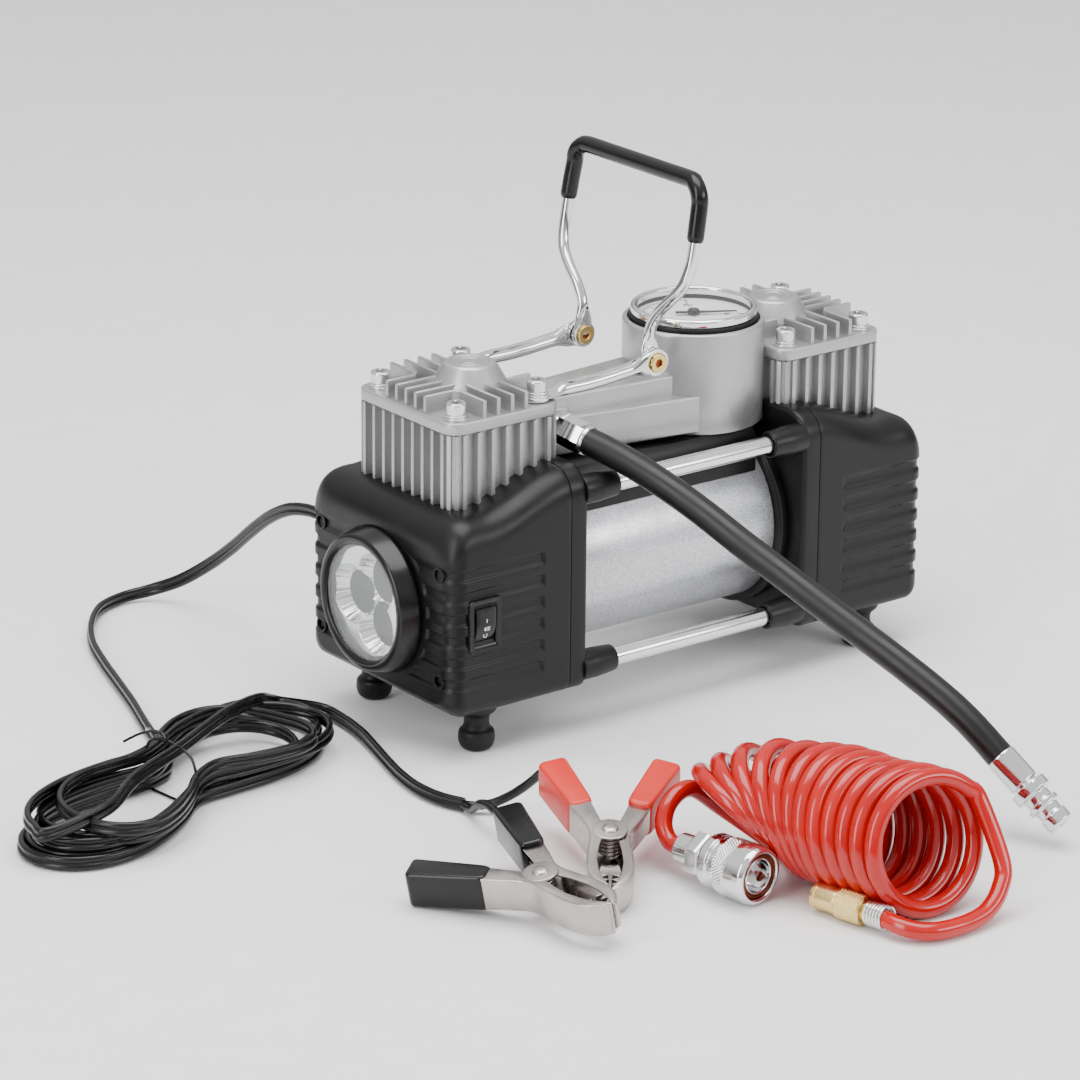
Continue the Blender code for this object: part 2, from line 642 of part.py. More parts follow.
def finned_outline(middle):
    """The block seen from above: round corners with slots cut in along all four sides."""
    run_x, run_y = 2 * (BLOCK_X - BLOCK_R), 2 * (BLOCK_Y - BLOCK_R)
    corner = {0: (BLOCK_X, -BLOCK_Y), 1: (BLOCK_X, BLOCK_Y), 2: (-BLOCK_X, BLOCK_Y), 3: (-BLOCK_X, -BLOCK_Y)}
    points = []
    for k, (x, y) in corner.items():
        centre = (middle + x - math.copysign(BLOCK_R, x), y - math.copysign(BLOCK_R, y))
        points += arc(centre, BLOCK_R, -90 + 90 * k, 90 * k, 3)
        if k == 0:
            points += [(middle + BLOCK_X - d, s) for s, d in comb(run_y, 8, FIN_DEEP)]
        if k == 1:
            points += [(middle - s, BLOCK_Y - d) for s, d in comb(run_x, 6, FIN_DEEP)]
        if k == 2:
            points += [(middle - BLOCK_X + d, -s) for s, d in comb(run_y, 8, FIN_DEEP)]
        if k == 3:
            points += [(middle + s, -BLOCK_Y + d) for s, d in comb(run_x, 6, FIN_DEEP)]
    return points


def top_fins(side):
    """Outlines of the head's fins: nested angles at the outer corners, straight ones elsewhere."""
    half = TOP_FIN_T / 2
    edge_x, edge_y = BLOCK_X - 1.6 * MM, BLOCK_Y - 1.6 * MM
    outlines = []
    for hand in (1, -1):
        for x, y in ((-10.8 * MM, 13.4 * MM), (-3.6 * MM, 6.7 * MM)):
            outlines.append([(-edge_x, y - half), (x + half, y - half), (x + half, edge_y), (x - half, edge_y),
                             (x - half, y + half), (-edge_x, y + half)])
        for x in (3.6 * MM, 10.8 * MM):
            outlines.append([(x - half, 14.5 * MM), (x + half, 14.5 * MM), (x + half, edge_y), (x - half, edge_y)])
        outlines.append([(15 * MM, 13.4 * MM - half), (edge_x, 13.4 * MM - half), (edge_x, 13.4 * MM + half),
                         (15 * MM, 13.4 * MM + half)])
        if hand == 1:
            for outline in outlines:
                outline.reverse()
            mirrored = [[(x, -y) for x, y in outline] for outline in outlines]
    outlines = outlines[:5] + mirrored
    outlines.append([(-edge_x, -half), (-8 * MM, -half), (-8 * MM, half), (-edge_x, half)])
    return [[(at_u(side, HEAD_U) - side * x, y) for x, y in outline] for outline in outlines]


def make_heads():
    """Finned cylinder blocks and the finned head covers with their round valve domes."""
    for end, side in (("front", -1), ("rear", 1)):
        middle = at_u(side, HEAD_U)
        block = prism(f"{end}_cylinder_block", finned_outline(middle), *BLOCK_Z, "silver_paint")
        cut(block, cylinder(f"{end}_bore", (middle, 0, 90 * MM), (middle, 0, 145 * MM), BORE_R, sides=20))
        plate = rounded((middle - BLOCK_X, -BLOCK_Y), (middle + BLOCK_X, BLOCK_Y), BLOCK_R)
        head = prism(f"{end}_head_cover", plate, BLOCK_Z[1] + GAP, PLATE_TOP_Z, "silver_paint")
        for k, outline in enumerate(top_fins(side)):
            join(head, prism(f"{end}_top_fin_{k}", outline, PLATE_TOP_Z - 1 * MM, FIN_TOP_Z))
        dome_x = middle - side * DOME_SHIFT
        dome = [(0, -1 * MM), (DOME_R[0], -1 * MM), (DOME_R[0], 5.2 * MM), (DOME_R[0] - 0.8 * MM, 6.2 * MM),
                (DOME_R[1] + 0.8 * MM, 12.9 * MM), (DOME_R[1] - 0.6 * MM, 13.5 * MM), (0, 13.5 * MM)]
        join(head, turned(f"{end}_dome", dome, Matrix.Translation((dome_x, 0, PLATE_TOP_Z)), sides=18))
        for sx in (-SCREW_X, SCREW_X):
            for y in (-SCREW_Y, SCREW_Y):
                cut(head, cylinder(f"{end}_screw_hole_{sx > 0}_{y > 0}", (middle + sx, y, 130 * MM),
                                   (middle + sx, y, 160 * MM), 2.6 * MM, sides=8))


# ---------------------------------------------------------------- manifold and gauge

def make_manifold():
    """Air manifold: an arm from the front head that widens into the gauge's round pod."""
    start = MID_X - 59.5 * MM
    tangent = (POD_X - 17 * MM, 25.9 * MM)
    outline = [(start, -13.2 * MM), (tangent[0], -tangent[1]), (POD_X, -25 * MM), (POD_X, 25 * MM), tangent,
               (start, 13.2 * MM)]
    manifold = prism("manifold", outline, 112 * MM, ARM_TOP_Z, "silver_paint")
    pod = [(0, POD_BASE_Z), (POD_R, POD_BASE_Z), (POD_R, POD_TOP_Z - 0.8 * MM), (POD_R - 0.8 * MM, POD_TOP_Z),
           (GAUGE_R + 1.1 * MM, POD_TOP_Z), (GAUGE_R + 1.1 * MM, 152.5 * MM), (20.6 * MM, 152.5 * MM),
           (20.6 * MM, 138 * MM), (0, 138 * MM)]
    join(manifold, turned("pod", pod, Matrix.Translation((POD_X, 0, 0)), sides=30))
    cut(manifold, box("pod_flat", (MID_X + POD_FLAT_U, -40 * MM, 100 * MM), (MID_X + 80 * MM, 40 * MM, 152 * MM)))
    boss = box("hose_boss", (MID_X - 59.3 * MM, -20.2 * MM, 118.6 * MM), (MID_X - 44.5 * MM, -10 * MM, 135.4 * MM))
    join(manifold, boss)
    fitting = hose_frame()
    cut(manifold, cylinder("hose_bore", fitting @ Vector((0, 0, -5 * MM)), fitting @ Vector((0, 0, 12 * MM)),
                           5.4 * MM, sides=14))


def hose_frame():
    """Matrix at the hose's root on the manifold's side, its Z along the hose as it leaves."""
    root = Vector(HOSE_ROUTE[0]) * MM
    towards = Vector(HOSE_ROUTE[1]) * MM
    direction = (towards - root).normalized()
    return along(root - direction * 16 * MM, towards)


def make_saddle():
    """Black plate that carries the manifold on top of the round motor."""
    top = POD_BASE_Z - GAP
    clear = MOTOR_R + GAP
    half = 27 * MM
    outline = [(-half, top), (-half - 3 * MM, top - 4 * MM)]
    limit = math.degrees(math.asin((half + 3 * MM) / clear))
    outline += [(y, MOTOR_Z + z) for y, z in arc((0, 0), clear, 90 + limit, 90 - limit, 10)]
    outline += [(half + 3 * MM, top - 4 * MM), (half, top)]
    stand = Matrix(((0, 0, 1, 0), (1, 0, 0, 0), (0, 1, 0, 0), (0, 0, 0, 1)))
    prism("manifold_saddle", outline, MID_X - 50 * MM, MID_X + 50 * MM, "black_plastic", stand)


def make_gauge():
    """Pressure gauge: case, dial, needle and clear lens."""
    place = Matrix.Translation((POD_X, 0, 0))
    case = [(0, 138.4), (20.2, 138.4), (20.2, 152.8), (27.6, 152.8), (28.0, 154.0), (28.0, 156.6), (27.5, 157.2),
            (25.9, 157.2), (25.9, 154.6), (0, 154.6)]
    turned("gauge_case", [(r * MM, z * MM) for r, z in case], place, "rubber", 24)
    dial = [(0, 154.9), (25.5, 154.9), (25.5, 155.6), (0, 155.6)]
    turned("gauge_dial", [(r * MM, z * MM) for r, z in dial], place, "dial", 20)
    lens = [(0, 159.4), (25.4, 159.4), (25.4, 157.5), (27.5, 157.5), (27.5, 160.2), (26.6, 161.0), (0, 161.0)]
    turned("gauge_lens", [(r * MM, z * MM) for r, z in lens], place, "lens", 24)
    rest = Matrix.Translation((POD_X, 0, 0)) @ Matrix.Rotation(math.radians(NEEDLE_REST), 4, "Z")
    blade = [(-8, -1.1), (0, -1.3), (19, -0.3), (19, 0.3), (0, 1.3), (-8, 1.1)]
    blade = [(x * MM, y * MM) for x, y in blade]
    needle = prism("gauge_needle", blade, 156.6 * MM, 157.2 * MM, "black_plastic", rest)
    join(needle, cylinder("needle_hub", (POD_X, 0, 156.1 * MM), (POD_X, 0, 158.4 * MM), 2.6 * MM, sides=12))



# ---------------------------------------------------------------- handle

def make_handle_arms():
    """Two bright arms from the front head's screws back to the bail's pivots."""
    screw_x = at_u(-1, HEAD_U) + SCREW_X
    route = [(screw_x / MM + 7, 146.8), (screw_x / MM + 14, 146.4), (-48.0, 146.0), (-38.0, 146.0),
             (-28.0, 146.5), (-19.0, 147.3), (PIVOT_X / MM - 5.0, 148.4)]
    for hand, sign in (("near", -1), ("far", 1)):
        y = sign * SCREW_Y
        points = smooth_route([(x, y / MM, z) for x, z in route], 7 * MM)
        arm = tube_mesh(f"handle_arm_{hand}", points, ARM_R, "chrome", 2)
        eye_low, eye_high = PLATE_TOP_Z + GAP, PLATE_TOP_Z + 2.2 * MM
        tongue = [(screw_x, y - 4.6 * MM), (screw_x + 10 * MM, y - 3.0 * MM), (screw_x + 10 * MM, y + 3.0 * MM),
                  (screw_x, y + 4.6 * MM)]
        join(arm, cylinder(f"arm_eye_{hand}", (screw_x, y, eye_low), (screw_x, y, eye_high), 5.6 * MM, sides=16),
             prism(f"arm_tongue_{hand}", tongue, eye_low, eye_high))
        near_y, far_y = sorted((y - sign * 1.3 * MM, y + sign * 1.3 * MM))
        join(arm, cylinder(f"arm_flat_{hand}", (PIVOT_X, near_y, PIVOT_Z), (PIVOT_X, far_y, PIVOT_Z), 6 * MM,
                           sides=16))
        cut(arm, box(f"arm_face_{hand}", (PIVOT_X - 8.5 * MM, y - sign * 1.3 * MM, 138 * MM),
                     (PIVOT_X + 10 * MM, y - sign * 9 * MM, 160 * MM)),
            cylinder(f"arm_screw_hole_{hand}", (screw_x, y, 140 * MM), (screw_x, y, 150 * MM), 2.7 * MM, sides=10),
            cylinder(f"arm_pin_hole_{hand}", (PIVOT_X, y - 9 * MM, PIVOT_Z), (PIVOT_X, y + 9 * MM, PIVOT_Z),
                     3.0 * MM, sides=12))


def make_rivets():
    """Brass eyelets, each through an arm and a flat of the bail."""
    for hand, sign in (("near", -1), ("far", 1)):
        outer = sign * (SCREW_Y + 1.3 * MM + GAP)
        turn = Matrix.Translation((PIVOT_X, outer, PIVOT_Z)) @ Matrix.Rotation(math.radians(90 * sign), 4, "X")
        reach = 6.2
        profile = [(1.7, -0.9), (4.1, -0.9), (4.4, -0.4), (4.1, 0.0), (2.7, 0.0), (2.7, reach), (4.1, reach),
                   (4.3, reach + 0.4), (4.0, reach + 0.8), (1.7, reach + 0.8)]
        turned(f"handle_rivet_{hand}", [(r * MM, z * MM) for r, z in profile], turn, "brass", 10)


def bail_route():
    """Half of the bail's wire from its flat to the middle of the top bar, as millimetre points."""
    lean = 6.4
    half = [(-4.5, 23.4, 153.0), (-4.9, 22.9, 158.0), (-4.8, 24.0, 164.0), (-4.5, 28.0, 170.5), (-3.9, 34.5, 177.0),
            (-2.2, 40.6, 184.0), (0.1, 43.0, 192.5), (1.9, 43.4, 202.0), (3.4, 43.2, 211.0), (5.0, 42.7, 220.0)]
    corner = [(lean - 1.4 * math.cos(a), 34.7 + 8 * math.cos(a), 221.0 + 8 * math.sin(a))
              for a in (math.radians(15), math.radians(38), math.radians(62), math.radians(86))]
    top = [(lean, 20.0, BAIL_TOP_Z / MM), (lean, 0.0, BAIL_TOP_Z / MM)]
    return [(x + MID_X / MM, y, z) for x, y, z in half + corner + top]


def make_bail():
    """Folding bail of bent wire with flattened ends, and the plastic grip over its top."""
    half = bail_route()
    whole = [(x, -y, z) for x, y, z in half[:-1]] + [(x, y, z) for x, y, z in reversed(half)]
    route = smooth_route(whole, 7 * MM)
    bail = tube_mesh("handle_bail", route, WIRE_R, "chrome", 1)
    for hand, sign in (("near", -1), ("far", 1)):
        inner, outer = sign * 22.3 * MM, sign * 24.8 * MM
        low, high = sorted((inner, outer))
        join(bail, cylinder(f"bail_flat_{hand}", (PIVOT_X, low, PIVOT_Z), (PIVOT_X, high, PIVOT_Z), 5.6 * MM,
                            sides=16))
        cut(bail, cylinder(f"bail_hole_{hand}", (PIVOT_X, low - 1 * MM, PIVOT_Z), (PIVOT_X, high + 1 * MM, PIVOT_Z),
                           3.0 * MM, sides=12),
            box(f"bail_face_{hand}", (PIVOT_X - 8 * MM, outer, PIVOT_Z - 8 * MM),
                (PIVOT_X + 8 * MM, outer + sign * 4 * MM, PIVOT_Z + 8.0 * MM)))
    gripped = [p for p in route if p.z > 204 * MM]
    sleeve("handle_grip", gripped, GRIP_R, WIRE_R + GAP, "black_plastic")


# ---------------------------------------------------------------- lamp, switch and gland

def make_lamp():
    """Work lamp on the front end: bezel, cupped reflector and clear lens."""
    place = Matrix.Translation((MID_X, 0, LAMP_Z)) @ Matrix.Rotation(math.radians(-90), 4, "Y")
    bezel = [(26.0, 139.2), (26.8, 140.0), (28.2, 140.0), (29.4, 139.2), (31.6, 131.6), (31.6, 130.3), (27.3, 130.3),
             (27.3, 124.0), (24.6, 124.0), (24.6, 136.2), (26.0, 136.2)]
    turned("lamp_bezel", [(r * MM, u * MM) for r, u in bezel], place, "black_plastic", 24)
    lens = [(0, 138.9), (24.9, 138.6), (25.7, 137.9), (25.7, 136.5), (0, 136.5)]
    turned("lamp_lens", [(r * MM, u * MM) for r, u in lens], place, "lens", 20)
    cup = [(0, 117.0), (10, 117.0), (17, 120.5), (21, 126.0), (23.4, 135.6), (24.3, 135.6), (24.3, 124.0), (19, 116.0),
           (11, 113.0), (0, 113.0)]
    turned("lamp_reflector", [(r * MM, u * MM) for r, u in cup], place, "mirror", 16)


def make_switch():
    """Rocker switch in the front housing's near side: a frame and the rocker in it."""
    half_w, half_h = SWITCH_SIZE[0] / 2, SWITCH_SIZE[1] / 2
    frame = box("switch_frame", (SWITCH_X - half_w, -52.3 * MM, SWITCH_Z - half_h),
                (SWITCH_X + half_w, -51.1 * MM, SWITCH_Z + half_h), "black_plastic")
    join(frame, box("switch_body", (SWITCH_X - 6.5 * MM, -51.7 * MM, SWITCH_Z - 9.7 * MM),
                    (SWITCH_X + 6.5 * MM, -36 * MM, SWITCH_Z + 9.7 * MM)))
    cut(frame, box("switch_well", (SWITCH_X - 5.5 * MM, -60 * MM, SWITCH_Z - 8.8 * MM),
                   (SWITCH_X + 5.5 * MM, -41 * MM, SWITCH_Z + 8.8 * MM)))
    outline = [(-7.6, -1.5), (-8.0, 2.6), (0.0, 4.2), (8.0, 2.6), (7.6, -1.5), (3.0, -5.4), (-3.0, -5.4)]
    tilt = Matrix.Rotation(math.radians(ROCKER_REST), 4, "X")
    stand = Matrix(((0, 0, 1, 0), (0, -1, 0, 0), (1, 0, 0, 0), (0, 0, 0, 1)))
    place = Matrix.Translation((SWITCH_X, ROCKER_Y, SWITCH_Z)) @ tilt @ stand
    prism("switch_rocker", [(a * MM, b * MM) for a, b in outline], -5.0 * MM, 5.0 * MM, "black_plastic", place)



def make_gland():
    """Tapered cable gland on the front housing's far side."""
    place = Matrix.Translation((GLAND_X, 0, 76 * MM)) @ Matrix.Rotation(math.radians(-90), 4, "X")
    gland = [(0, 49.0), (4.2, 49.0), (4.2, 52.3), (6.4, 52.3), (6.4, 55.0), (5.2, 56.0), (4.4, 59.0),
             (3.6, 66.0), (0, 66.0)]
    turned("cable_gland", [(r * MM, y * MM) for r, y in gland], place, "rubber", 12)


# ---------------------------------------------------------------- air hose

def make_air_hose():
    """Rubber hose with a hexagonal ferrule at its root and a quick plug on its end."""
    root = hose_frame()
    fitting = cylinder("hose_fitting", root @ Vector((0, 0, 2.0 * MM)), root @ Vector((0, 0, 15.7 * MM)),
                       6.9 * MM, "chrome", 6)
    join(fitting, cylinder("hose_nipple", root @ Vector((0, 0, -4 * MM)), root @ Vector((0, 0, 4 * MM)),
                           5.0 * MM, sides=12))
    tube("air_hose", smooth_route(HOSE_ROUTE, 13 * MM), HOSE_R, "rubber")
    last, before = Vector(HOSE_ROUTE[-1]) * MM, Vector(HOSE_ROUTE[-2]) * MM
    direction = (last - before).normalized()
    place = along(last + direction * GAP, last + direction)
    plug = [(0, 0), (6.5, 0), (6.5, 15), (5.0, 15.6), (5.0, 16.5), (8.2, 16.8), (8.2, 21.0), (5.6, 21.8), (5.6, 25.0),
            (7.0, 25.6), (7.0, 27.6), (5.2, 28.2), (5.0, 31.2), (5.9, 32.2), (5.8, 36.5), (5.0, 37.3), (0, 37.3)]
    turned("quick_plug", [(r * MM, z * MM) for r, z in plug], place, "chrome", 12)


# ---------------------------------------------------------------- power cable and clamps

def make_cable():
    """Power cable: the lead from the gland, the tied hank, the lead to the clamps and two tails."""
    tube("power_cable", smooth_route(CABLE_ROUTE, 13 * MM), CABLE_R, "cable")
    tube("clip_cable", smooth_route(CLIP_ROUTE, 8 * MM), CABLE_R, "cable")
    tube("red_lead", smooth_route(RED_ROUTE, 5 * MM), LEAD_R, "cable")
    tube("black_lead", smooth_route(BLACK_ROUTE, 5 * MM), LEAD_R, "cable")
    outline = []
    for sign in (-1, 1):
        for k in range(13):
            s = sign * (-1 + k / 6)
            width = HANK_W[1] + (HANK_W[0] - HANK_W[1]) * min(1.0, abs(s) * 1.35) ** 2
            width *= math.sqrt(max(1 - max(0.0, (abs(s) - 0.72) / 0.28) ** 2, 0.04))
            outline.append((s * HANK_HALF, sign * -width))
    place = Matrix.Translation((*HANK_AT, 0.3 * MM)) @ Matrix.Rotation(HANK_TURN, 4, "Z")
    prism("cable_hank", outline, 0.0, HANK_H, "cable", place)


def clip_frame(colour):
    """Matrix at a clamp's pivot: X towards the jaws, Z along the pin."""
    (x, y, z), heading, tilt, roll, _ = CLIPS[colour]
    return (Matrix.Translation((x * MM, y * MM, z * MM)) @ Matrix.Rotation(math.radians(heading), 4, "Z")
            @ Matrix.Rotation(math.radians(tilt), 4, "Y") @ Matrix.Rotation(math.radians(roll), 4, "X"))


def clip_outline(opening, sign):
    """One half of a clamp from the side: a straight handle and a bowed jaw."""
    jaw_out = [(39.0, 1.6), (35.0, 6.0), (27.0, 9.0), (14.0, 9.4), (0.0, 7.6)]
    jaw_in = [(4.0, 3.0), (10.0, 3.8), (20.0, 4.4), (29.0, 3.4), (37.6, 0.4)]
    angle = math.radians(180 - opening)
    along_handle = (math.cos(angle), math.sin(angle))
    across = (math.sin(angle), -math.cos(angle))

    def spot(reach, offset):
        return (reach * along_handle[0] + offset * across[0], reach * along_handle[1] + offset * across[1])

    handle = [spot(12, 7.4), spot(51.5, 6.6), spot(54, 4.0), spot(54, -3.4), spot(51.5, -5.4), spot(14, -0.5)]
    points = jaw_out + handle + [(-2.0, 3.0)] + jaw_in
    return [(x * MM, sign * y * MM) for x, y in (points if sign > 0 else reversed(points))]


def make_clip(colour):
    """A sprung clamp: a base half with the pin, and a jaw half that turns on it."""
    place = clip_frame(colour)
    opening = CLIPS[colour][-1]
    wide = CLIP_HALF_W

    def disc(tag, radius, low, high, sides=14):
        ends = [place @ Vector((0, 0, z)) for z in (low, high)]
        return cylinder(f"{colour}_{tag}", *ends, radius, sides=sides)

    finish = "red_plastic" if colour == "red" else "black_plastic"
    base = prism(f"{colour}_clip_base", clip_outline(opening, -1), -wide, wide, finish, place)
    join(base, disc("ears", 6.8 * MM, -wide, wide))
    cut(base, disc("pocket", 9.6 * MM, -5.6 * MM, 5.6 * MM))
    join(base, disc("pin", 2.5 * MM, -wide, wide, 10))
    jaw = prism(f"{colour}_clip_jaw", clip_outline(opening, 1), -wide, wide, "steel", place)
    cut(jaw, disc("clear_low", 7.4 * MM, -wide - 1 * MM, -5.2 * MM),
        disc("clear_high", 7.4 * MM, 5.2 * MM, wide + 1 * MM))
    join(jaw, disc("tongue", 6.4 * MM, -5.2 * MM, 5.2 * MM))
    cut(jaw, disc("pin_hole", 3.0 * MM, -wide, wide, 10))


# ---------------------------------------------------------------- recoil hose

def make_recoil_hose():
    """Coiled red hose lying beside the machine, with its quick coupler and tyre chuck."""
    front, back = Vector((*COIL_FRONT, COIL_R + GAP)), Vector((*COIL_BACK, COIL_R + GAP))
    length = (front - back).length
    inner = COIL_R - 2 * RECOIL_R - 1 * MM
    ring = [(inner, 0), (COIL_R, 0), (COIL_R, length), (inner, length)]
    turned("recoil_coil", ring, along(back, front), "red_hose", 24)
    tube("coupler_tail", smooth_route(COUPLER_TAIL, 7 * MM), RECOIL_R, "red_hose")
    tube("chuck_tail", smooth_route(CHUCK_TAIL, 7 * MM), RECOIL_R, "red_hose")
    start, end = (Vector(p) * MM for p in COUPLER)
    coupler = [(0, 0), (6.4, 0), (6.4, 8), (9.6, 8.6), (9.6, 15), (8.6, 15.6), (11.2, 17), (11.9, 19), (11.9, 40),
               (11.0, 41.6), (9.4, 41.6), (9.0, 40), (7.2, 39.5), (7.2, 22), (0, 22)]
    turned("quick_coupler", [(r * MM, z * MM) for r, z in coupler], along(start, end), "chrome", 14)
    start, end = (Vector(p) * MM for p in CHUCK)
    chuck = [(0, -5.0), (5.2, -5.0), (5.2, 3.5), (4.2, 4.0), (4.2, 5.0), (6.0, 5.6), (6.0, 18), (5.4, 18.6), (5.4, 29.6),
             (3.0, 29.6), (3.0, 18), (0, 18)]
    turned("tyre_chuck", [(r * MM, z * MM) for r, z in chuck], along(start, end), "brass", 12)


def hang(name, spot, direction, children):
    """An empty on a joint's axis, its Z along it, that carries the pieces that move on it."""
    axle = bpy.data.objects.new(name, None)
    axle.empty_display_size = 10 * MM
    axle.matrix_world = along(spot, Vector(spot) + Vector(direction))
    PARTS.objects.link(axle)
    bpy.context.view_layer.update()
    for child in children:
        thing = bpy.data.objects[child]
        thing.parent = axle
        thing.matrix_parent_inverse = axle.matrix_world.inverted()


def hang_moving_parts():
    """Puts each moving piece on an empty at its joint."""
    hang("handle_pivot", (PIVOT_X, 0, PIVOT_Z), (0, 1, 0), ["handle_bail", "handle_grip"])
    hang("rocker_pivot", (SWITCH_X, ROCKER_Y, SWITCH_Z), (1, 0, 0), ["switch_rocker"])
    hang("needle_pivot", (POD_X, 0, FIN_TOP_Z), (0, 0, 1), ["gauge_needle"])
    hang("motor_axis", (MID_X, 0, MOTOR_Z), (1, 0, 0), ["armature"])
    for end, side in (("front", -1), ("rear", 1)):
        hang(f"{end}_crank_axis", (at_u(side, INNER_U), 0, GEAR_Z), (1, 0, 0), [f"{end}_crank_gear"])
        hang(f"{end}_bore_axis", (at_u(side, HEAD_U), 0, PISTON_TOP_Z), (0, 0, 1), [f"{end}_piston"])
    for colour in CLIPS:
        place = clip_frame(colour)
        hang(f"{colour}_clip_pivot", place.translation, place.col[2].xyz, [f"{colour}_clip_jaw"])
    pieces = ["recoil_coil", "coupler_tail", "chuck_tail", "quick_coupler", "tyre_chuck"]
    hang("recoil_hose_lift", (*COIL_BACK, 0), (0, 0, 1), pieces)


def main():
    make_housings()
    make_tie_rods()
    make_feet()
    make_motor()
    make_crank_gears()
    make_pistons()
    make_heads()
    make_manifold()
    make_saddle()
    make_gauge()
    make_handle_arms()
    make_rivets()
    make_bail()
    make_lamp()
    make_switch()
    make_gland()
    make_air_hose()
    make_cable()
    make_clip("red")
    make_clip("black")
    make_recoil_hose()
    hang_moving_parts()


main()
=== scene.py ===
"""Looks for the twin-cylinder twelve-volt air compressor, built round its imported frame.

Shapes are worked out in millimetres in the frame's own axes: +X along the motor to the rear end,
+Y to the cable gland's side, +Z up. U is the distance along X from the middle of the motor.
"""

import logging
import math
from dataclasses import dataclass, field
from enum import Enum
from typing import Optional, Sequence

import bmesh
import bpy
import numpy as np
from mathutils import Matrix, Vector


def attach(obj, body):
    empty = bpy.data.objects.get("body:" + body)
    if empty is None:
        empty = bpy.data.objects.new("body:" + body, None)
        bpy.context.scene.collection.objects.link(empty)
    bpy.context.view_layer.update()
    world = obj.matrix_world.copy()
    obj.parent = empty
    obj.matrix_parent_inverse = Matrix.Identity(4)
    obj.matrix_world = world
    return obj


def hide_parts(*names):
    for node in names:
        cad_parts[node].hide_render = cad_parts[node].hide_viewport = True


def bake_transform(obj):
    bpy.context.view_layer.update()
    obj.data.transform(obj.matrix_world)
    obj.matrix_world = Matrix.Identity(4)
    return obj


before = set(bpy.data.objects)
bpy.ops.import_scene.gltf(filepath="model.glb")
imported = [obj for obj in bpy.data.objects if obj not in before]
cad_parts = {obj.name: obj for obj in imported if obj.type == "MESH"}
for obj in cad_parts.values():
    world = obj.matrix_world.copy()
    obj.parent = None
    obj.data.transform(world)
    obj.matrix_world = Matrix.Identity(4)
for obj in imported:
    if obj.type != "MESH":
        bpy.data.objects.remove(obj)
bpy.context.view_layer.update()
LOG = logging.getLogger("compressor")

MM = 0.001
MID_X = 5.0
ROOT = "compressor"


# ---------------------------------------------------------------- shapes

def unit(vectors: np.ndarray) -> np.ndarray:
    """Vectors scaled to length 1 along their last axis."""
    return vectors / np.maximum(np.linalg.norm(vectors, axis=-1, keepdims=True), 1e-12)


def eased(share: np.ndarray) -> np.ndarray:
    """The smooth step s^2 (3 - 2s) of a share from 0 to 1."""
    return share ** 2 * (3 - 2 * share)


def oblong(inner: float, outer: float, low: float, high: float) -> list[tuple[float, float]]:
    """An oblong's corners, which turn into a ring, or into a disc where the inner edge is 0."""
    return [(inner, low), (outer, low), (outer, high), (inner, high)]


def place_along(start: Sequence[float], direction: Sequence[float],
                up: Sequence[float] = (0, 0, 1)) -> np.ndarray:
    """A frame whose Z is a direction and whose X is as near as it can be to up.

    Args:
        start: the frame's origin, in millimetres.
        direction: the way its Z points.
        up: the way its X leans.

    Returns:
        A 4 by 4 matrix with the three axes and the origin as columns.
    """
    z = unit(np.asarray(direction, float))
    lean = np.asarray(up, float)
    if abs(z @ unit(lean)) > 0.99:
        lean = np.array([1.0, 0.0, 0.0])
    x = unit(lean - (lean @ z) * z)
    made = np.eye(4)
    made[:3, 0], made[:3, 1], made[:3, 2], made[:3, 3] = x, np.cross(z, x), z, start
    return made


def moved(points: np.ndarray, place: Optional[np.ndarray]) -> np.ndarray:
    """Points taken through a 4 by 4 matrix, or left alone without one."""
    if place is None:
        return points
    return points @ place[:3, :3].T + place[:3, 3]


def arc(centre: Sequence[float], radius: float, start: float, end: float, steps: int = 6) -> np.ndarray:
    """Points of an arc: the centre plus the radius times the cosine and sine of even angles in degrees."""
    turn = np.radians(np.linspace(start, end, steps + 1))
    return np.asarray(centre, float) + radius * np.stack([np.cos(turn), np.sin(turn)], -1)


def round_box(low: Sequence[float], high: Sequence[float], radius: float, steps: int = 6) -> np.ndarray:
    """A rectangle's outline with a quarter circle at each corner, anticlockwise."""
    (x0, y0), (x1, y1) = low, high
    return np.concatenate([arc((x1 - radius, y0 + radius), radius, -90, 0, steps),
                           arc((x1 - radius, y1 - radius), radius, 0, 90, steps),
                           arc((x0 + radius, y1 - radius), radius, 90, 180, steps),
                           arc((x0 + radius, y0 + radius), radius, 180, 270, steps)])


def soften(points: Sequence[Sequence[float]], radius: float, steps: int = 3,
           closed: bool = True) -> np.ndarray:
    """Rounds the corners of a line.

    Each corner P becomes (1-t)^2 A + 2t(1-t) P + t^2 B, where A and B lie on its two sides at the
    given distance, or at 0.45 of the side where that is shorter.

    Args:
        points: the corners, in two dimensions.
        radius: how far from a corner its curve starts.
        steps: pieces in each curve.
        closed: whether the line runs back to its start; an open line keeps its two ends.

    Returns:
        The softened line's points.
    """
    p = np.asarray(points, float)
    back, ahead = np.roll(p, 1, 0) - p, np.roll(p, -1, 0) - p
    back_long, ahead_long = np.linalg.norm(back, axis=1), np.linalg.norm(ahead, axis=1)
    reach = np.minimum(radius, 0.45 * np.minimum(back_long, ahead_long))[:, None]
    start, end = p + unit(back) * reach, p + unit(ahead) * reach
    t = np.linspace(0, 1, steps + 1)[None, :, None]
    curve = (1 - t) ** 2 * start[:, None] + 2 * t * (1 - t) * p[:, None] + t ** 2 * end[:, None]
    if closed:
        return curve.reshape(-1, 2)
    return np.concatenate([p[:1], curve[1:-1].reshape(-1, 2), p[-1:]])


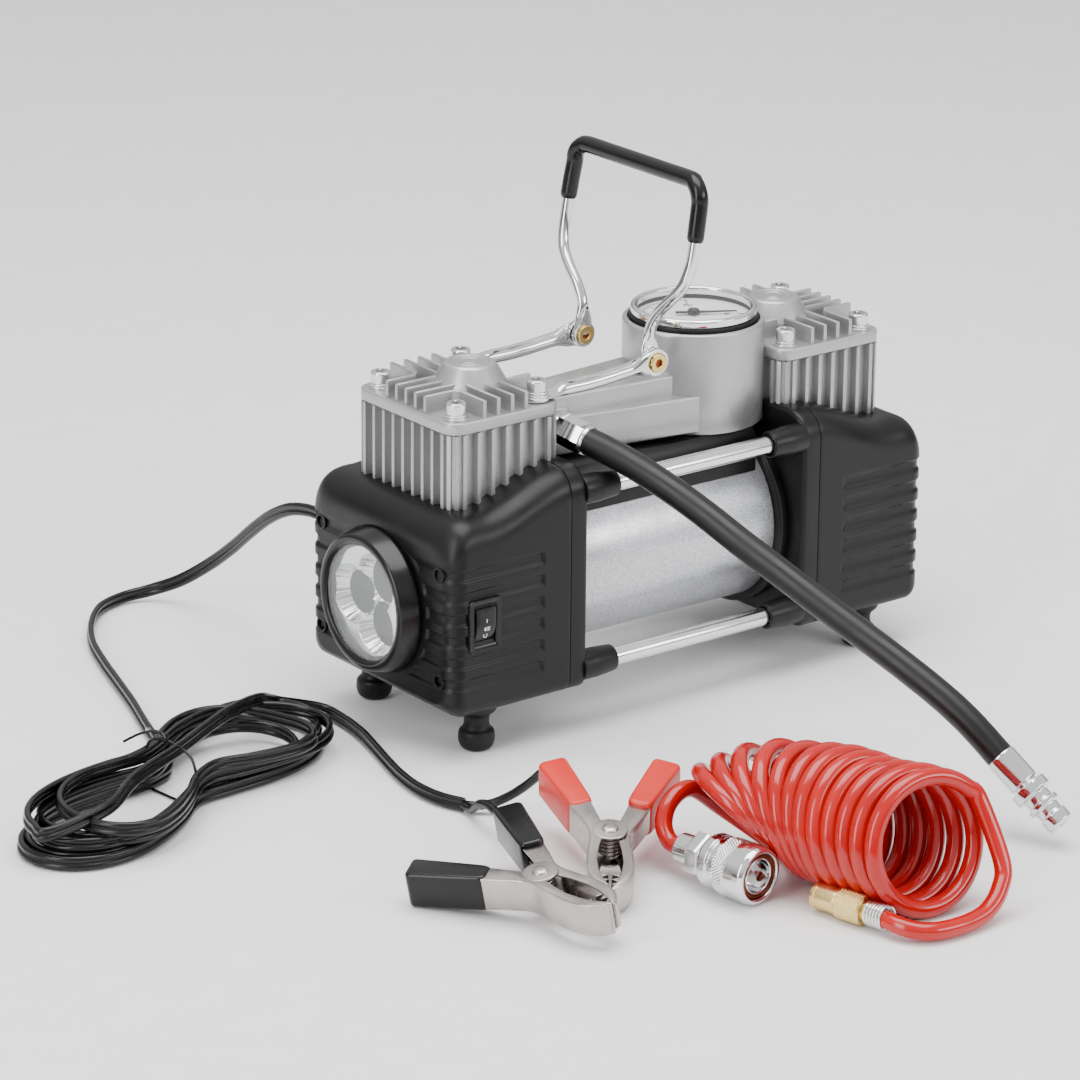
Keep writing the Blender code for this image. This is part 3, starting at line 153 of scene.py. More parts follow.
def inset(outline: np.ndarray, distance: float) -> np.ndarray:
    """An anticlockwise outline moved inwards: each corner goes along the sum of its sides' normals."""
    side = unit(np.roll(outline, -1, 0) - outline)
    normal = np.stack([-side[:, 1], side[:, 0]], -1)
    before = np.roll(normal, 1, 0)
    share = 1.0 + np.sum(normal * before, axis=1, keepdims=True)
    return outline + distance * (normal + before) / np.maximum(share, 0.35)


def smooth_line(points: Sequence[Sequence[float]], spacing: float) -> np.ndarray:
    """An evenly spaced Catmull-Rom curve through points of three coordinates.

    Args:
        points: the points it passes through.
        spacing: the distance between the points that come out.

    Returns:
        The curve's points.
    """
    p = np.asarray(points, float)
    p = np.concatenate([2 * p[:1] - p[1:2], p, 2 * p[-1:] - p[-2:-1]])
    a, b, c, d = (p[k:len(p) - 3 + k, None] for k in range(4))
    t = np.linspace(0, 1, 24, endpoint=False)[None, :, None]
    square, cube = 2 * a - 5 * b + 4 * c - d, 3 * b - a - 3 * c + d
    fine = 0.5 * (2 * b + (c - a) * t + square * t ** 2 + cube * t ** 3)
    return even_line(np.concatenate([fine.reshape(-1, 3), p[-2:-1]]), spacing)


def even_line(points: np.ndarray, spacing: float) -> np.ndarray:
    """The same line with its points an even distance apart along it."""
    reach = np.concatenate([[0.0], np.cumsum(np.linalg.norm(np.diff(points, axis=0), axis=1))])
    count = max(2, int(round(reach[-1] / spacing)))
    goals = np.linspace(0, reach[-1], count + 1)
    return np.stack([np.interp(goals, reach, points[:, k]) for k in range(points.shape[1])], -1)


def line_length(points: np.ndarray) -> float:
    """The sum of the distances between a line's points."""
    return float(np.sum(np.linalg.norm(np.diff(points, axis=0), axis=1)))


def ring_section(radius: float, sides: int = 16) -> np.ndarray:
    """A circle's outline about the origin."""
    return arc((0, 0), radius, 0, 360 - 360 / sides, sides - 1)


def twin_section(lobe: float, sides: int = 9) -> np.ndarray:
    """Outline of a flat twin cable: two round lobes side by side that meet in a groove."""
    right = arc((lobe, 0), lobe, -152, 152, sides)
    left = arc((-lobe, 0), lobe, 28, 332, sides)
    return np.concatenate([right, left])


@dataclass
class Form:
    """Closed surfaces gathered as arrays of points and faces, in millimetres."""

    points: list[np.ndarray] = field(default_factory=list)
    faces: list[list[int]] = field(default_factory=list)
    marks: list[np.ndarray] = field(default_factory=list)
    count: int = 0

    def grid(self, rows: np.ndarray, ring: bool = False, mark: int = 0) -> "Form":
        """Adds a surface of rows of points, each row closed on itself.

        Point (i, j) is joined to (i+1, j), (i, j+1) and (i+1, j+1). The surface is turned inside out
        if its volume, the sum of its corner pyramids from the origin, is negative.

        Args:
            rows: points as rows by columns by three.
            ring: whether the last row joins the first; otherwise both are filled.
            mark: which of the object's finishes it takes.

        Returns:
            The form itself.
        """
        high, wide = rows.shape[:2]
        flat = rows.reshape(-1, 3)
        i, j = np.meshgrid(np.arange(high if ring else high - 1), np.arange(wide), indexing="ij")
        down, along = (i + 1) % high, (j + 1) % wide
        quads = np.stack([i * wide + j, i * wide + along, down * wide + along, down * wide + j],
                         -1).reshape(-1, 4)
        a, b, c, d = (flat[quads[:, k]] for k in range(4))
        volume = np.sum(a * np.cross(b, c)) + np.sum(a * np.cross(c, d))
        caps = []
        if not ring:
            caps = [np.arange(wide)[::-1], (high - 1) * wide + np.arange(wide)]
            for cap in caps:
                fan = flat[cap]
                volume += np.sum(fan[0] * np.cross(fan[1:-1], fan[2:]))
        turn = -1 if volume < 0 else 1
        made = [quad[::turn] for quad in (quads + self.count).tolist()]
        made += [(cap + self.count)[::turn].tolist() for cap in caps]
        self.faces += made
        self.marks.append(np.full(len(made), mark, dtype=np.int32))
        self.points.append(flat)
        self.count += len(flat)
        return self

    def turned(self, profile: Sequence[Sequence[float]], place: Optional[np.ndarray] = None,
               edge: float = 0.4, sides: int = 64, mark: int = 0) -> "Form":
        """Adds a profile of (radius, height) turned about Z: (r cos a, r sin a, h) for even angles a.

        Args:
            profile: closed on the axis if it starts at radius 0, else on itself.
            place: where its axis stands.
            edge: how far from each corner its rounding starts.
            sides: points round it.
            mark: which finish it takes.

        Returns:
            The form itself.
        """
        ring = profile[0][0] > 0
        line = soften(profile, edge, 3, ring) if edge > 0 else np.asarray(profile, float)
        turn = np.linspace(0, 2 * math.pi, sides, endpoint=False)
        radius, height = line[:, 0:1], line[:, 1:2]
        rows = np.stack([radius * np.cos(turn), radius * np.sin(turn), height + 0 * turn], -1)
        return self.grid(moved(rows, place), ring, mark)

    def raised(self, outline: np.ndarray, low: float, high: float, place: Optional[np.ndarray] = None,
               edge: float = 0.4, mark: int = 0) -> "Form":
        """Adds an outline raised from low to high, its two rims rounded by a quarter circle.

        Args:
            outline: anticlockwise points in X and Y.
            low: height of the bottom.
            high: height of the top.
            place: where the outline's plane stands.
            edge: the rims' radius.
            mark: which finish it takes.

        Returns:
            The form itself.
        """
        outline = np.asarray(outline, float)
        area = np.sum(outline[:, 0] * np.roll(outline[:, 1], -1) - outline[:, 1] * np.roll(outline[:, 0],
                                                                                           -1))
        if area < 0:
            outline = outline[::-1]
        bend = np.radians(np.array([0.0, 30.0, 60.0, 90.0]))
        steps = [(edge * (1 - math.sin(b)), low + edge * (1 - math.cos(b))) for b in bend]
        steps += [(edge * (1 - math.cos(b)), high - edge * (1 - math.sin(b))) for b in bend]
        if edge == 0:
            steps = [(0.0, low), (0.0, high)]
        rows = []
        for depth, height in steps:
            ring = inset(outline, depth)
            rows.append(np.concatenate([ring, np.full((len(ring), 1), height)], 1))
        return self.grid(moved(np.stack(rows), place), False, mark)

    def swept(self, path: np.ndarray, section: np.ndarray, scale: Optional[np.ndarray] = None,
              twist: float = 0.0, up: Sequence[float] = (0, 0, 1), ring: bool = False,
              mark: int = 0) -> "Form":
        """Adds a section carried along a path: path + side * x + rise * y.

        The side is up crossed with the way along, and the rise is the way along crossed with the side.

        Args:
            path: points along the middle.
            section: outline in (x, y).
            scale: width and height factors at each point.
            twist: degrees that the section is turned about the path.
            up: the way the section's y leans; it is never along the path.
            ring: whether the path closes on itself.
            mark: which finish it takes.

        Returns:
            The form itself.
        """
        ahead = np.roll(path, -1, 0) - np.roll(path, 1, 0) if ring else np.gradient(path, axis=0)
        along = unit(ahead)
        side = unit(np.cross(np.broadcast_to(np.asarray(up, float), along.shape), along))
        rise = np.cross(along, side)
        turn = math.radians(twist)
        spin = np.array([[math.cos(turn), -math.sin(turn)], [math.sin(turn), math.cos(turn)]])
        flat = section @ spin.T
        size = np.ones((len(path), 2)) if scale is None else np.broadcast_to(scale, (len(path), 2))
        rows = (path[:, None] + side[:, None] * (flat[None, :, 0:1] * size[:, None, 0:1])
                + rise[:, None] * (flat[None, :, 1:2] * size[:, None, 1:2]))
        return self.grid(rows, ring, mark)

    def swept_round(self, path: np.ndarray, radius: float, sides: int, mark: int = 0) -> "Form":
        """Adds a round tube along any path, its section turned as little as it can be from point to point.

        Each side direction is the last one less its part along the path, scaled to length 1.

        Args:
            path: points along the middle.
            radius: the tube's radius.
            sides: points round it.
            mark: which finish it takes.

        Returns:
            The form itself.
        """
        along = unit(np.gradient(path, axis=0))
        side = unit(np.cross((0.0, 0.0, 1.0), along[0]))
        frames = []
        for way in along:
            side = unit(side - (side @ way) * way)
            frames.append(side)
        side = np.array(frames)
        rise = np.cross(along, side)
        turn = np.linspace(0, 2 * math.pi, sides, endpoint=False)[None, :, None]
        rows = path[:, None] + radius * (side[:, None] * np.cos(turn) + rise[:, None] * np.sin(turn))
        return self.grid(rows, False, mark)

    def mesh(self, name: str) -> bpy.types.Mesh:
        """The gathered surfaces as one mesh in metres, with seams and poles merged."""
        mesh = bpy.data.meshes.new(name)
        mesh.from_pydata((np.concatenate(self.points) * MM).tolist(), [], self.faces)
        mesh.polygons.foreach_set("material_index", np.concatenate(self.marks))
        bm = bmesh.new()
        bm.from_mesh(mesh)
        bmesh.ops.remove_doubles(bm, verts=bm.verts, dist=1e-7)
        bmesh.ops.dissolve_degenerate(bm, edges=bm.edges, dist=1e-8)
        bm.to_mesh(mesh)
        bm.free()
        return mesh


# ---------------------------------------------------------------- finishes

class Grain(Enum):
    """What a surface's fine relief looks like."""

    MOULDED = "moulded"
    CAST = "cast"
    FLAKE = "flake"
    BRUSHED = "brushed"
    SMOOTH = "smooth"


COAT_ROUGHNESS = 0.12
BROAD_WAVES = 55.0
BUMP_DEPTH = 0.0002


def set_inputs(node: bpy.types.Node, values: dict[str, float | tuple[float, ...]]) -> None:
    """Sets a shader node's inputs by their names."""
    for name, value in values.items():
        node.inputs[name].default_value = value


@dataclass(frozen=True)
class Finish:
    """One material: its colours, gloss and fine relief, with detail sizes in millimetres."""

    name: str
    slot: str
    colour: tuple[float, float, float]
    second: tuple[float, float, float]
    metallic: float = 0.0
    rough: tuple[float, float] = (0.4, 0.5)
    grain: Grain = Grain.SMOOTH
    grain_size: float = 0.6
    relief: float = 0.1
    coat: float = 0.0
    alpha: float = 1.0
    ior: float = 1.5

    def material(self) -> bpy.types.Material:
        """The finish as a node material on Object coordinates, made once."""
        found = bpy.data.materials.get(self.name)
        if found:
            return found
        made = bpy.data.materials.new(self.name)
        made.use_nodes = True
        tree = made.node_tree
        shader = tree.nodes["Principled BSDF"]
        set_inputs(shader, {"Metallic": self.metallic, "IOR": self.ior, "Coat Weight": self.coat,
                            "Coat Roughness": COAT_ROUGHNESS, "Alpha": self.alpha})
        where = tree.nodes.new("ShaderNodeTexCoord").outputs["Object"]
        broad = self.noise(tree, where, BROAD_WAVES, 3.0)
        fine = self.relief_height(tree, where)
        self.colour_mix(tree, shader, broad, fine)
        gloss = tree.nodes.new("ShaderNodeMapRange")
        set_inputs(gloss, {"From Min": 0.35, "From Max": 0.65, "To Min": self.rough[0],
                           "To Max": self.rough[1]})
        tree.links.new(broad, gloss.inputs["Value"])
        tree.links.new(gloss.outputs["Result"], shader.inputs["Roughness"])
        bump = tree.nodes.new("ShaderNodeBump")
        set_inputs(bump, {"Strength": self.relief, "Distance": BUMP_DEPTH})
        tree.links.new(fine, bump.inputs["Height"])
        tree.links.new(bump.outputs["Normal"], shader.inputs["Normal"])
        return made

    def noise(self, tree: bpy.types.NodeTree, where: bpy.types.NodeSocket, scale: float,
              detail: float) -> bpy.types.NodeSocket:
        """A noise texture's value, its scale in waves per metre."""
        node = tree.nodes.new("ShaderNodeTexNoise")
        set_inputs(node, {"Scale": scale, "Detail": detail})
        tree.links.new(where, node.inputs["Vector"])
        return node.outputs["Fac"]

    def relief_height(self, tree: bpy.types.NodeTree,
                      where: bpy.types.NodeSocket) -> bpy.types.NodeSocket:
        """The height of the fine relief: cells for flake, stretched noise for brushing, else noise.

        Args:
            tree: the material's node tree.
            where: the coordinates it reads.

        Returns:
            The height.
        """
        scale = 1000.0 / self.grain_size
        if self.grain is Grain.FLAKE:
            cells = tree.nodes.new("ShaderNodeTexVoronoi")
            cells.inputs["Scale"].default_value = scale
            tree.links.new(where, cells.inputs["Vector"])
            grey = tree.nodes.new("ShaderNodeSeparateColor")
            tree.links.new(cells.outputs["Color"], grey.inputs["Color"])
            return grey.outputs["Red"]
        if self.grain is Grain.BRUSHED:
            stretch = tree.nodes.new("ShaderNodeMapping")
            set_inputs(stretch, {"Scale": (0.05, 1, 1)})
            tree.links.new(where, stretch.inputs["Vector"])
            where = stretch.outputs["Vector"]
        return self.noise(tree, where, scale, 2.0)

    def colour_mix(self, tree: bpy.types.NodeTree, shader: bpy.types.Node, broad: bpy.types.NodeSocket,
                   fine: bpy.types.NodeSocket) -> None:
        """Mixes the two colours by the fine relief for flake and cast surfaces, else by broad noise.

        Args:
            tree: the material's node tree.
            shader: the node whose base colour it drives.
            broad: the broad noise.
            fine: the fine relief.
        """
        speckled = self.grain in (Grain.FLAKE, Grain.CAST)
        ramp = tree.nodes.new("ShaderNodeMapRange")
        low, high = (0.0, 1.0) if self.grain is Grain.FLAKE else (0.32, 0.68)
        set_inputs(ramp, {"From Min": low, "From Max": high})
        tree.links.new(fine if speckled else broad, ramp.inputs["Value"])
        mix = tree.nodes.new("ShaderNodeMix")
        mix.data_type = "RGBA"
        set_inputs(mix, {"A": (*self.colour, 1), "B": (*self.second, 1)})
        tree.links.new(ramp.outputs["Result"], mix.inputs["Factor"])
        tree.links.new(mix.outputs["Result"], shader.inputs["Base Color"])


BLACK = Finish("black_moulding", "black_plastic", (0.0022, 0.0022, 0.0024), (0.0038, 0.0038, 0.0042), 0.0,
               (0.33, 0.44), Grain.MOULDED, 0.55, 0.10, ior=1.36)
GLOSS_BLACK = Finish("black_gloss", "black_plastic", (0.002, 0.002, 0.0022), (0.0034, 0.0034, 0.0038),
                     0.0, (0.2, 0.3), Grain.MOULDED, 1.2, 0.05, 0.08, ior=1.38)
SILVER = Finish("cast_silver_paint", "silver_paint", (0.38, 0.385, 0.385), (0.45, 0.455, 0.455), 0.75,
                (0.33, 0.43), Grain.CAST, 0.5, 0.10, 0.15)
FLAKE = Finish("flake_silver_paint", "flake_paint", (0.40, 0.41, 0.43), (0.74, 0.75, 0.78), 0.85,
               (0.30, 0.40), Grain.FLAKE, 0.42, 0.22, 0.25)
CHROME = Finish("bright_chrome", "chrome", (0.72, 0.72, 0.73), (0.80, 0.80, 0.81), 1.0, (0.05, 0.12),
                Grain.SMOOTH, 3.0, 0.02)
ROD = Finish("bright_rod", "chrome", (0.76, 0.76, 0.76), (0.84, 0.84, 0.84), 1.0, (0.14, 0.24),
             Grain.BRUSHED, 0.35, 0.05)
ZINC = Finish("bright_zinc", "chrome", (0.70, 0.70, 0.69), (0.82, 0.82, 0.80), 1.0, (0.16, 0.28),
              Grain.CAST, 0.4, 0.04)
NICKEL = Finish("stamped_nickel", "steel", (0.42, 0.375, 0.355), (0.53, 0.485, 0.465), 1.0, (0.22, 0.36),
                Grain.BRUSHED, 0.8, 0.12)
STEEL = Finish("bare_steel", "steel", (0.48, 0.48, 0.48), (0.58, 0.58, 0.58), 1.0, (0.28, 0.4),
               Grain.BRUSHED, 0.4, 0.1)
BRASS = Finish("bare_brass", "brass", (0.70, 0.48, 0.16), (0.80, 0.60, 0.26), 1.0, (0.18, 0.3),
               Grain.BRUSHED, 0.5, 0.06)
# Brass darkened to a deep red-brown: painted shade for the insides of bores (the eyelet's bore plug, the
# coupler's socket sleeve and valve pin).
SHADED_BORE_BRASS = Finish("brass_with_painted_bore_shade", "brass", (0.16, 0.035, 0.02), (0.24, 0.07, 0.03), 1.0, (0.25, 0.4),
                Grain.CAST, 0.5, 0.1)
RUBBER = Finish("black_rubber", "rubber", (0.003, 0.003, 0.003), (0.006, 0.006, 0.006), 0.0, (0.42, 0.56),
                Grain.MOULDED, 0.35, 0.16, ior=1.36)
HOSE = Finish("hose_rubber", "rubber", (0.0035, 0.0035, 0.0035), (0.006, 0.006, 0.006), 0.0, (0.33, 0.45),
              Grain.MOULDED, 0.8, 0.08, ior=1.4)
JACKET = Finish("cable_jacket", "cable", (0.002, 0.002, 0.002), (0.0035, 0.0035, 0.0035), 0.0, (0.2, 0.3),
                Grain.SMOOTH, 1.5, 0.05, ior=1.4)
DIAL = Finish("dial_card", "dial", (0.80, 0.80, 0.79), (0.86, 0.86, 0.85), 0.0, (0.4, 0.5), Grain.CAST,
              0.3, 0.03)
INK = Finish("dial_ink", "dial", (0.02, 0.02, 0.022), (0.03, 0.03, 0.032), 0.0, (0.4, 0.5), Grain.CAST,
             0.3, 0.03)
WHITE = Finish("switch_print", "black_plastic", (0.62, 0.62, 0.62), (0.7, 0.7, 0.7), 0.0, (0.4, 0.5),
               Grain.CAST, 0.3, 0.03)
CLEAR = Finish("clear_lens", "lens", (0.80, 0.82, 0.83), (0.86, 0.88, 0.88), 0.0, (0.02, 0.05),
               Grain.SMOOTH, 8.0, 0.01, alpha=0.14, ior=1.45)
WINDOW = Finish("gauge_window", "lens", (0.40, 0.42, 0.43), (0.46, 0.48, 0.49), 0.0, (0.03, 0.06),
                Grain.SMOOTH, 8.0, 0.01, alpha=0.07)
MIRROR = Finish("bright_reflector", "mirror", (0.80, 0.81, 0.82), (0.92, 0.93, 0.94), 1.0, (0.06, 0.16),
                Grain.SMOOTH, 2.0, 0.03)
MAGNET = Finish("grey_ferrite", "magnet", (0.05, 0.05, 0.055), (0.08, 0.08, 0.085), 0.2, (0.5, 0.65),
                Grain.CAST, 0.4, 0.2)
WINDING = Finish("lacquered_winding", "winding", (0.35, 0.16, 0.06), (0.45, 0.22, 0.1), 0.7, (0.3, 0.45),
                 Grain.BRUSHED, 0.6, 0.2)
RED_GRIP = Finish("red_grip", "red_plastic", (0.62, 0.012, 0.005), (0.68, 0.018, 0.008), 0.0, (0.3, 0.42),
                  Grain.MOULDED, 0.7, 0.07, 0.05)
RED_HOSE = Finish("red_tube", "red_hose", (0.40, 0.0006, 0.0003), (0.48, 0.001, 0.0006), 0.0, (0.12, 0.2),
                  Grain.SMOOTH, 2.5, 0.03, 0.1)
FLOOR = Finish("pale_floor", "dial", (0.88, 0.88, 0.88), (0.90, 0.90, 0.90), 0.0, (0.6, 0.7),
               Grain.SMOOTH, 5.0, 0.02)


def piece(form: Form, name: str, finishes: Sequence[Finish], body: Optional[str] = ROOT,
          replaces: Sequence[str] = ()) -> bpy.types.Object:
    """Makes a form into an object that rides on a body.

    Args:
        form: the surfaces.
        name: the piece's name.
        finishes: its materials, in the order of the form's marks.
        body: the body that carries it, or None to leave it on no body.
        replaces: frame nodes that it stands for.

    Returns:
        The object.
    """
    mesh = form.mesh(name)
    for finish in finishes:
        mesh.materials.append(finish.material())
    mesh.shade_smooth()
    mesh.set_sharp_from_angle(angle=math.radians(38))
    made = bpy.data.objects.new(name, mesh)
    bpy.context.scene.collection.objects.link(made)
    if body:
        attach(made, body)
    if replaces:
        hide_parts(*replaces)
    LOG.info("%s: %d faces on %s", name, len(mesh.polygons), body)
    return made


# ---------------------------------------------------------------- machine

@dataclass
class Housings:
    """The two gear cases: a ribbed end cover and an inner cover each, with the tie rods and feet."""

    inner_u: float = 59.0
    seam_u: float = 68.0
    end_u: float = 130.0
    half_width: float = 52.0
    base_z: float = 21.0
    roof_low: float = 106.0
    roof_rise: float = 13.0
    top_radius: float = 12.0
    foot_radius: float = 5.0
    end_radius: float = 8.0
    crown_radius: float = 14.0
    groove_z: tuple[float, float, int] = (84.0, 9.6, 6)
    groove_height: float = 4.6
    groove_depth: float = 1.0
    groove_start: float = 82.5
    lamp_clear: float = 34.6
    lamp_z: float = 60.9
    rod_y: float = 47.0
    rod_z: tuple[float, float] = (108.0, 29.4)
    foot_at: tuple[float, float] = (106.0, 37.0)
    screw_y: float = 42.2
    screw_z: tuple[float, float] = (83.3, 36.6)

    def x(self, side: int, u: float) -> float:
        """X of a distance u on the front (-1) or rear (1) side."""
        return MID_X + side * u

    def rows(self, side: int, u: np.ndarray, shrink: np.ndarray, dense: int) -> np.ndarray:
        """Cross-sections of a case: a box with large top and small bottom corners at each u.

        The roof is low + rise * s^2 (3 - 2s), where s falls from 1 to 0 away from the motor. Near the
        end, each wall moves in by R - sqrt(R^2 - t^2), where t is how far u is past the bend's start.

        Args:
            side: -1 for the front case, 1 for the rear.
            u: distances from the motor's middle, one for each row.
            shrink: how far every wall is moved in at each row.
            dense: points along each upright wall.

        Returns:
            Points as rows by columns by three.
        """
        u = u[:, None]
        share = np.clip((112.0 - u) / 46.0, 0, 1)
        past = np.maximum(0.0, u - (self.end_u - self.end_radius))
        past_top = np.maximum(0.0, u - (self.end_u - self.crown_radius))
        turn_in = self.end_radius - np.sqrt(np.maximum(self.end_radius ** 2 - past ** 2, 0))
        turn_down = self.crown_radius - np.sqrt(np.maximum(self.crown_radius ** 2 - past_top ** 2, 0))
        shrink = shrink[:, None]
        half = self.half_width - turn_in - shrink
        top = self.roof_low + self.roof_rise * share ** 2 * (3 - 2 * share) - turn_down - shrink
        base = self.base_z + np.minimum(turn_in, self.foot_radius) + shrink
        quarter = np.radians(np.linspace(0, 90, 9))[None, :]
        foot, crown = self.foot_radius, self.top_radius
        up = np.linspace(0, 1, dense)[None, 1:-1]
        low_y, low_z = half - foot + foot * np.sin(quarter), base + foot - foot * np.cos(quarter)
        wall_z = base + foot + (top - crown - base - foot) * up
        high_y, high_z = half - crown + crown * np.cos(quarter), top - crown + crown * np.sin(quarter)
        across = (half - crown) * (1 - 2 * np.linspace(0, 1, 14)[None, 1:-1])
        right_y = np.concatenate([low_y, half + 0 * wall_z, high_y], 1)
        right_z = np.concatenate([low_z, wall_z, high_z], 1)
        y = np.concatenate([right_y, across, -right_y[:, ::-1]], 1)
        z = np.concatenate([right_z, top + 0 * across, right_z[:, ::-1]], 1)
        x = self.x(side, u) + 0 * y
        return np.stack([x, y, z], -1)

    def closing(self, last: np.ndarray, steps: int, reach: float = 27.0) -> np.ndarray:
        """Rows that fill an end: each point runs level towards a circle round the lamp's axis.

        Args:
            last: the outermost row of the end face.
            steps: how many rows to add.
            reach: the circle's radius.

        Returns:
            The added rows.
        """
        height = np.clip(last[:, 2] - self.lamp_z, -reach, reach)
        goal_y = np.sign(last[:, 1]) * np.sqrt(np.maximum(reach ** 2 - height ** 2, 0))
        goal = np.stack([last[:, 0], goal_y, self.lamp_z + height], -1)
        share = np.linspace(0, 1, steps + 1)[1:, None, None]
        return last[None] * (1 - share) + goal[None] * share

    def pressed(self, rows: np.ndarray) -> np.ndarray:
        """Presses the grooves in: each point sinks along its normal by depth * S(0.4 - d).

        d is the distance to the nearest groove: its half height against |z - z0|, its start against u
        and the lamp's clear circle against the distance from the lamp's axis. S is a smooth step, and
        a groove's lower lip is softer than its upper one.
        """
        down = np.gradient(rows, axis=0)
        around = np.roll(rows, -1, 1) - np.roll(rows, 1, 1)
        normal = unit(np.cross(down, around))
        middle = rows.mean(axis=(0, 1))
        outward = np.sign(np.sum(normal * (rows - middle), -1, keepdims=True))
        normal = normal * np.where(np.median(outward) < 0, -1.0, 1.0)
        first, pitch, count = self.groove_z
        z = rows[..., 2]
        nearest = np.clip(np.round((first - z) / pitch), 0, count - 1)
        off = z - (first - nearest * pitch)
        gap = np.abs(off) - self.groove_height / 2
        gap = np.maximum(gap, self.groove_start - np.abs(rows[..., 0] - MID_X))
        gap = np.maximum(gap, self.lamp_clear - np.hypot(rows[..., 1], z - self.lamp_z))
        depth = eased(np.clip(0.5 - gap / (0.9 + 0.8 * (off < 0)), 0, 1)) * self.groove_depth
        return rows - normal * depth[..., None]

    def end_cover(self, side: int, name: str) -> bpy.types.Object:
        """The outer shell, with its grooves pressed in and its four blind screw wells.

        Args:
            side: -1 for the front case, 1 for the rear.
            name: the frame node it stands for.

        Returns:
            The object.
        """
        bend = self.end_u - self.crown_radius
        flat = np.concatenate([[self.seam_u + 0.1, self.seam_u + 0.25],
                               np.linspace(self.seam_u + 0.6, 81, 10), np.linspace(81.5, 84.5, 9),
                               np.linspace(86, bend, 16)])
        turn = bend + self.crown_radius * np.sin(np.radians(np.linspace(4, 90, 26)))
        u = np.concatenate([flat, turn])
        shrink = np.zeros(len(u))
        shrink[:2] = (0.3, 0.08)
        rows = self.rows(side, u, shrink, 150)
        rows = np.concatenate([rows, self.closing(rows[-1], 44)])
        form = Form().grid(self.pressed(rows))
        face = self.x(side, self.end_u)
        for y in (-self.screw_y, self.screw_y):
            for z in self.screw_z:
                where = place_along((face, y, z), (side, 0, 0))
                form.turned(oblong(2.5, 3.5, -1.9, 0.12), where, 0.25, 32)
                form.turned(oblong(0, 2.55, -1.6, -1.0), where, 0.2, 32, 1)
                form.raised(ring_section(1.3, 6), -1.1, -0.85, where, 0.05, 2)
        return piece(form, f"{name}_shell", (BLACK, GLOSS_BLACK, RUBBER), ROOT, [name])

    def inner_cover(self, side: int, name: str) -> bpy.types.Object:
        """The plate towards the motor, with four stepped sockets for the tie rods.

        Args:
            side: -1 for the front case, 1 for the rear.
            name: the frame node it stands for.

        Returns:
            The object.
        """
        bend = np.radians(np.linspace(0, 90, 6))
        u = np.concatenate([self.inner_u + 2.2 * (1 - np.cos(bend)),
                            [64.0, self.seam_u - 0.25, self.seam_u - 0.1]])
        shrink = np.concatenate([2.2 * (1 - np.sin(bend)), [0, 0.08, 0.3]])
        rows = self.rows(side, u, shrink, 26)
        form = Form().grid(rows)
        for y in (-self.rod_y, self.rod_y):
            for z in self.rod_z:
                where = place_along((self.x(side, 0), y, z), (side, 0, 0))
                form.turned([(4.3, 42.3), (5.7, 42.3), (6.0, 46.0), (6.5, 52.0), (6.5, 60.5),
                             (4.3, 60.5)], where,
                            0.5, 48)
        return piece(form, f"{name}_plate", (BLACK,), ROOT, [name])

    def tie_rod(self, hand: int, level: int, name: str) -> bpy.types.Object:
        """One bright rod from case to case."""
        where = place_along((MID_X, hand * self.rod_y, self.rod_z[level]), (1, 0, 0))
        reach = self.inner_u + 1.4
        form = Form().turned(oblong(0, 4.0, -reach, reach), where, 0.4, 40)
        return piece(form, f"{name}_bar", (ROD,), ROOT, [name])

    def foot(self, side: int, hand: int, name: str) -> bpy.types.Object:
        """A rubber foot: a seat, a neck and a round knob with a washer's ridge."""
        where = place_along((self.x(side, self.foot_at[0]), hand * self.foot_at[1], 0), (0, 0, 1))
        profile = [(0, 20.7), (8.6, 20.7), (9.0, 19.8), (8.4, 17.6), (5.6, 15.2), (5.2, 12.2), (5.8, 9.6),
                   (7.6, 8.2), (7.9, 4.4), (7.0, 1.4), (5.4, 0.0), (0, 0.0)]
        form = Form().turned(profile, where, 1.2, 48)
        return piece(form, f"{name}_rubber", (RUBBER,), ROOT, [name])

    def build(self) -> None:
        """Makes both cases, the rods and the feet."""
        for side, end in ((-1, "front"), (1, "rear")):
            self.end_cover(side, f"{end}_end_cover")
            self.inner_cover(side, f"{end}_inner_cover")
            for hand, word in ((-1, "near"), (1, "far")):
                self.foot(side, hand, f"foot_{end}_{word}")
        for hand, word in ((-1, "near"), (1, "far")):
            for level, height in enumerate(("upper", "lower")):
                self.tie_rod(hand, level, f"tie_rod_{word}_{height}")


@dataclass
class Motor:
    """The motor's tube between its two end flanges."""

    radius: float = 39.3
    tube_u: float = 53.6
    flange_radius: float = 42.8
    axis_z: float = 64.6

    def build(self) -> None:
        """Makes the tube and the stepped flanges."""
        where = place_along((MID_X, 0, self.axis_z), (1, 0, 0))
        r, u = self.radius, self.tube_u
        form = Form().turned(oblong(r - 2, r, -u, u), where, 0.3, 128)
        piece(form, "motor_tube_painted", (FLAKE,), ROOT, ["motor_tube"])
        for side, name in ((-1, "front_motor_flange"), (1, "rear_motor_flange")):
            axis = place_along((MID_X, 0, self.axis_z), (side, 0, 0))
            f = self.flange_radius
            profile = [(4.4, 47), (r - 2.4, 47), (r - 2.4, u + 0.2), (f - 1.4, u + 0.2),
                       (f - 0.4, u + 1.6), (f, u + 1.8), (f, 58.8), (4.4, 58.8)]
            piece(Form().turned(profile, axis, 0.5, 128), f"{name}_ring", (BLACK,), ROOT, [name])


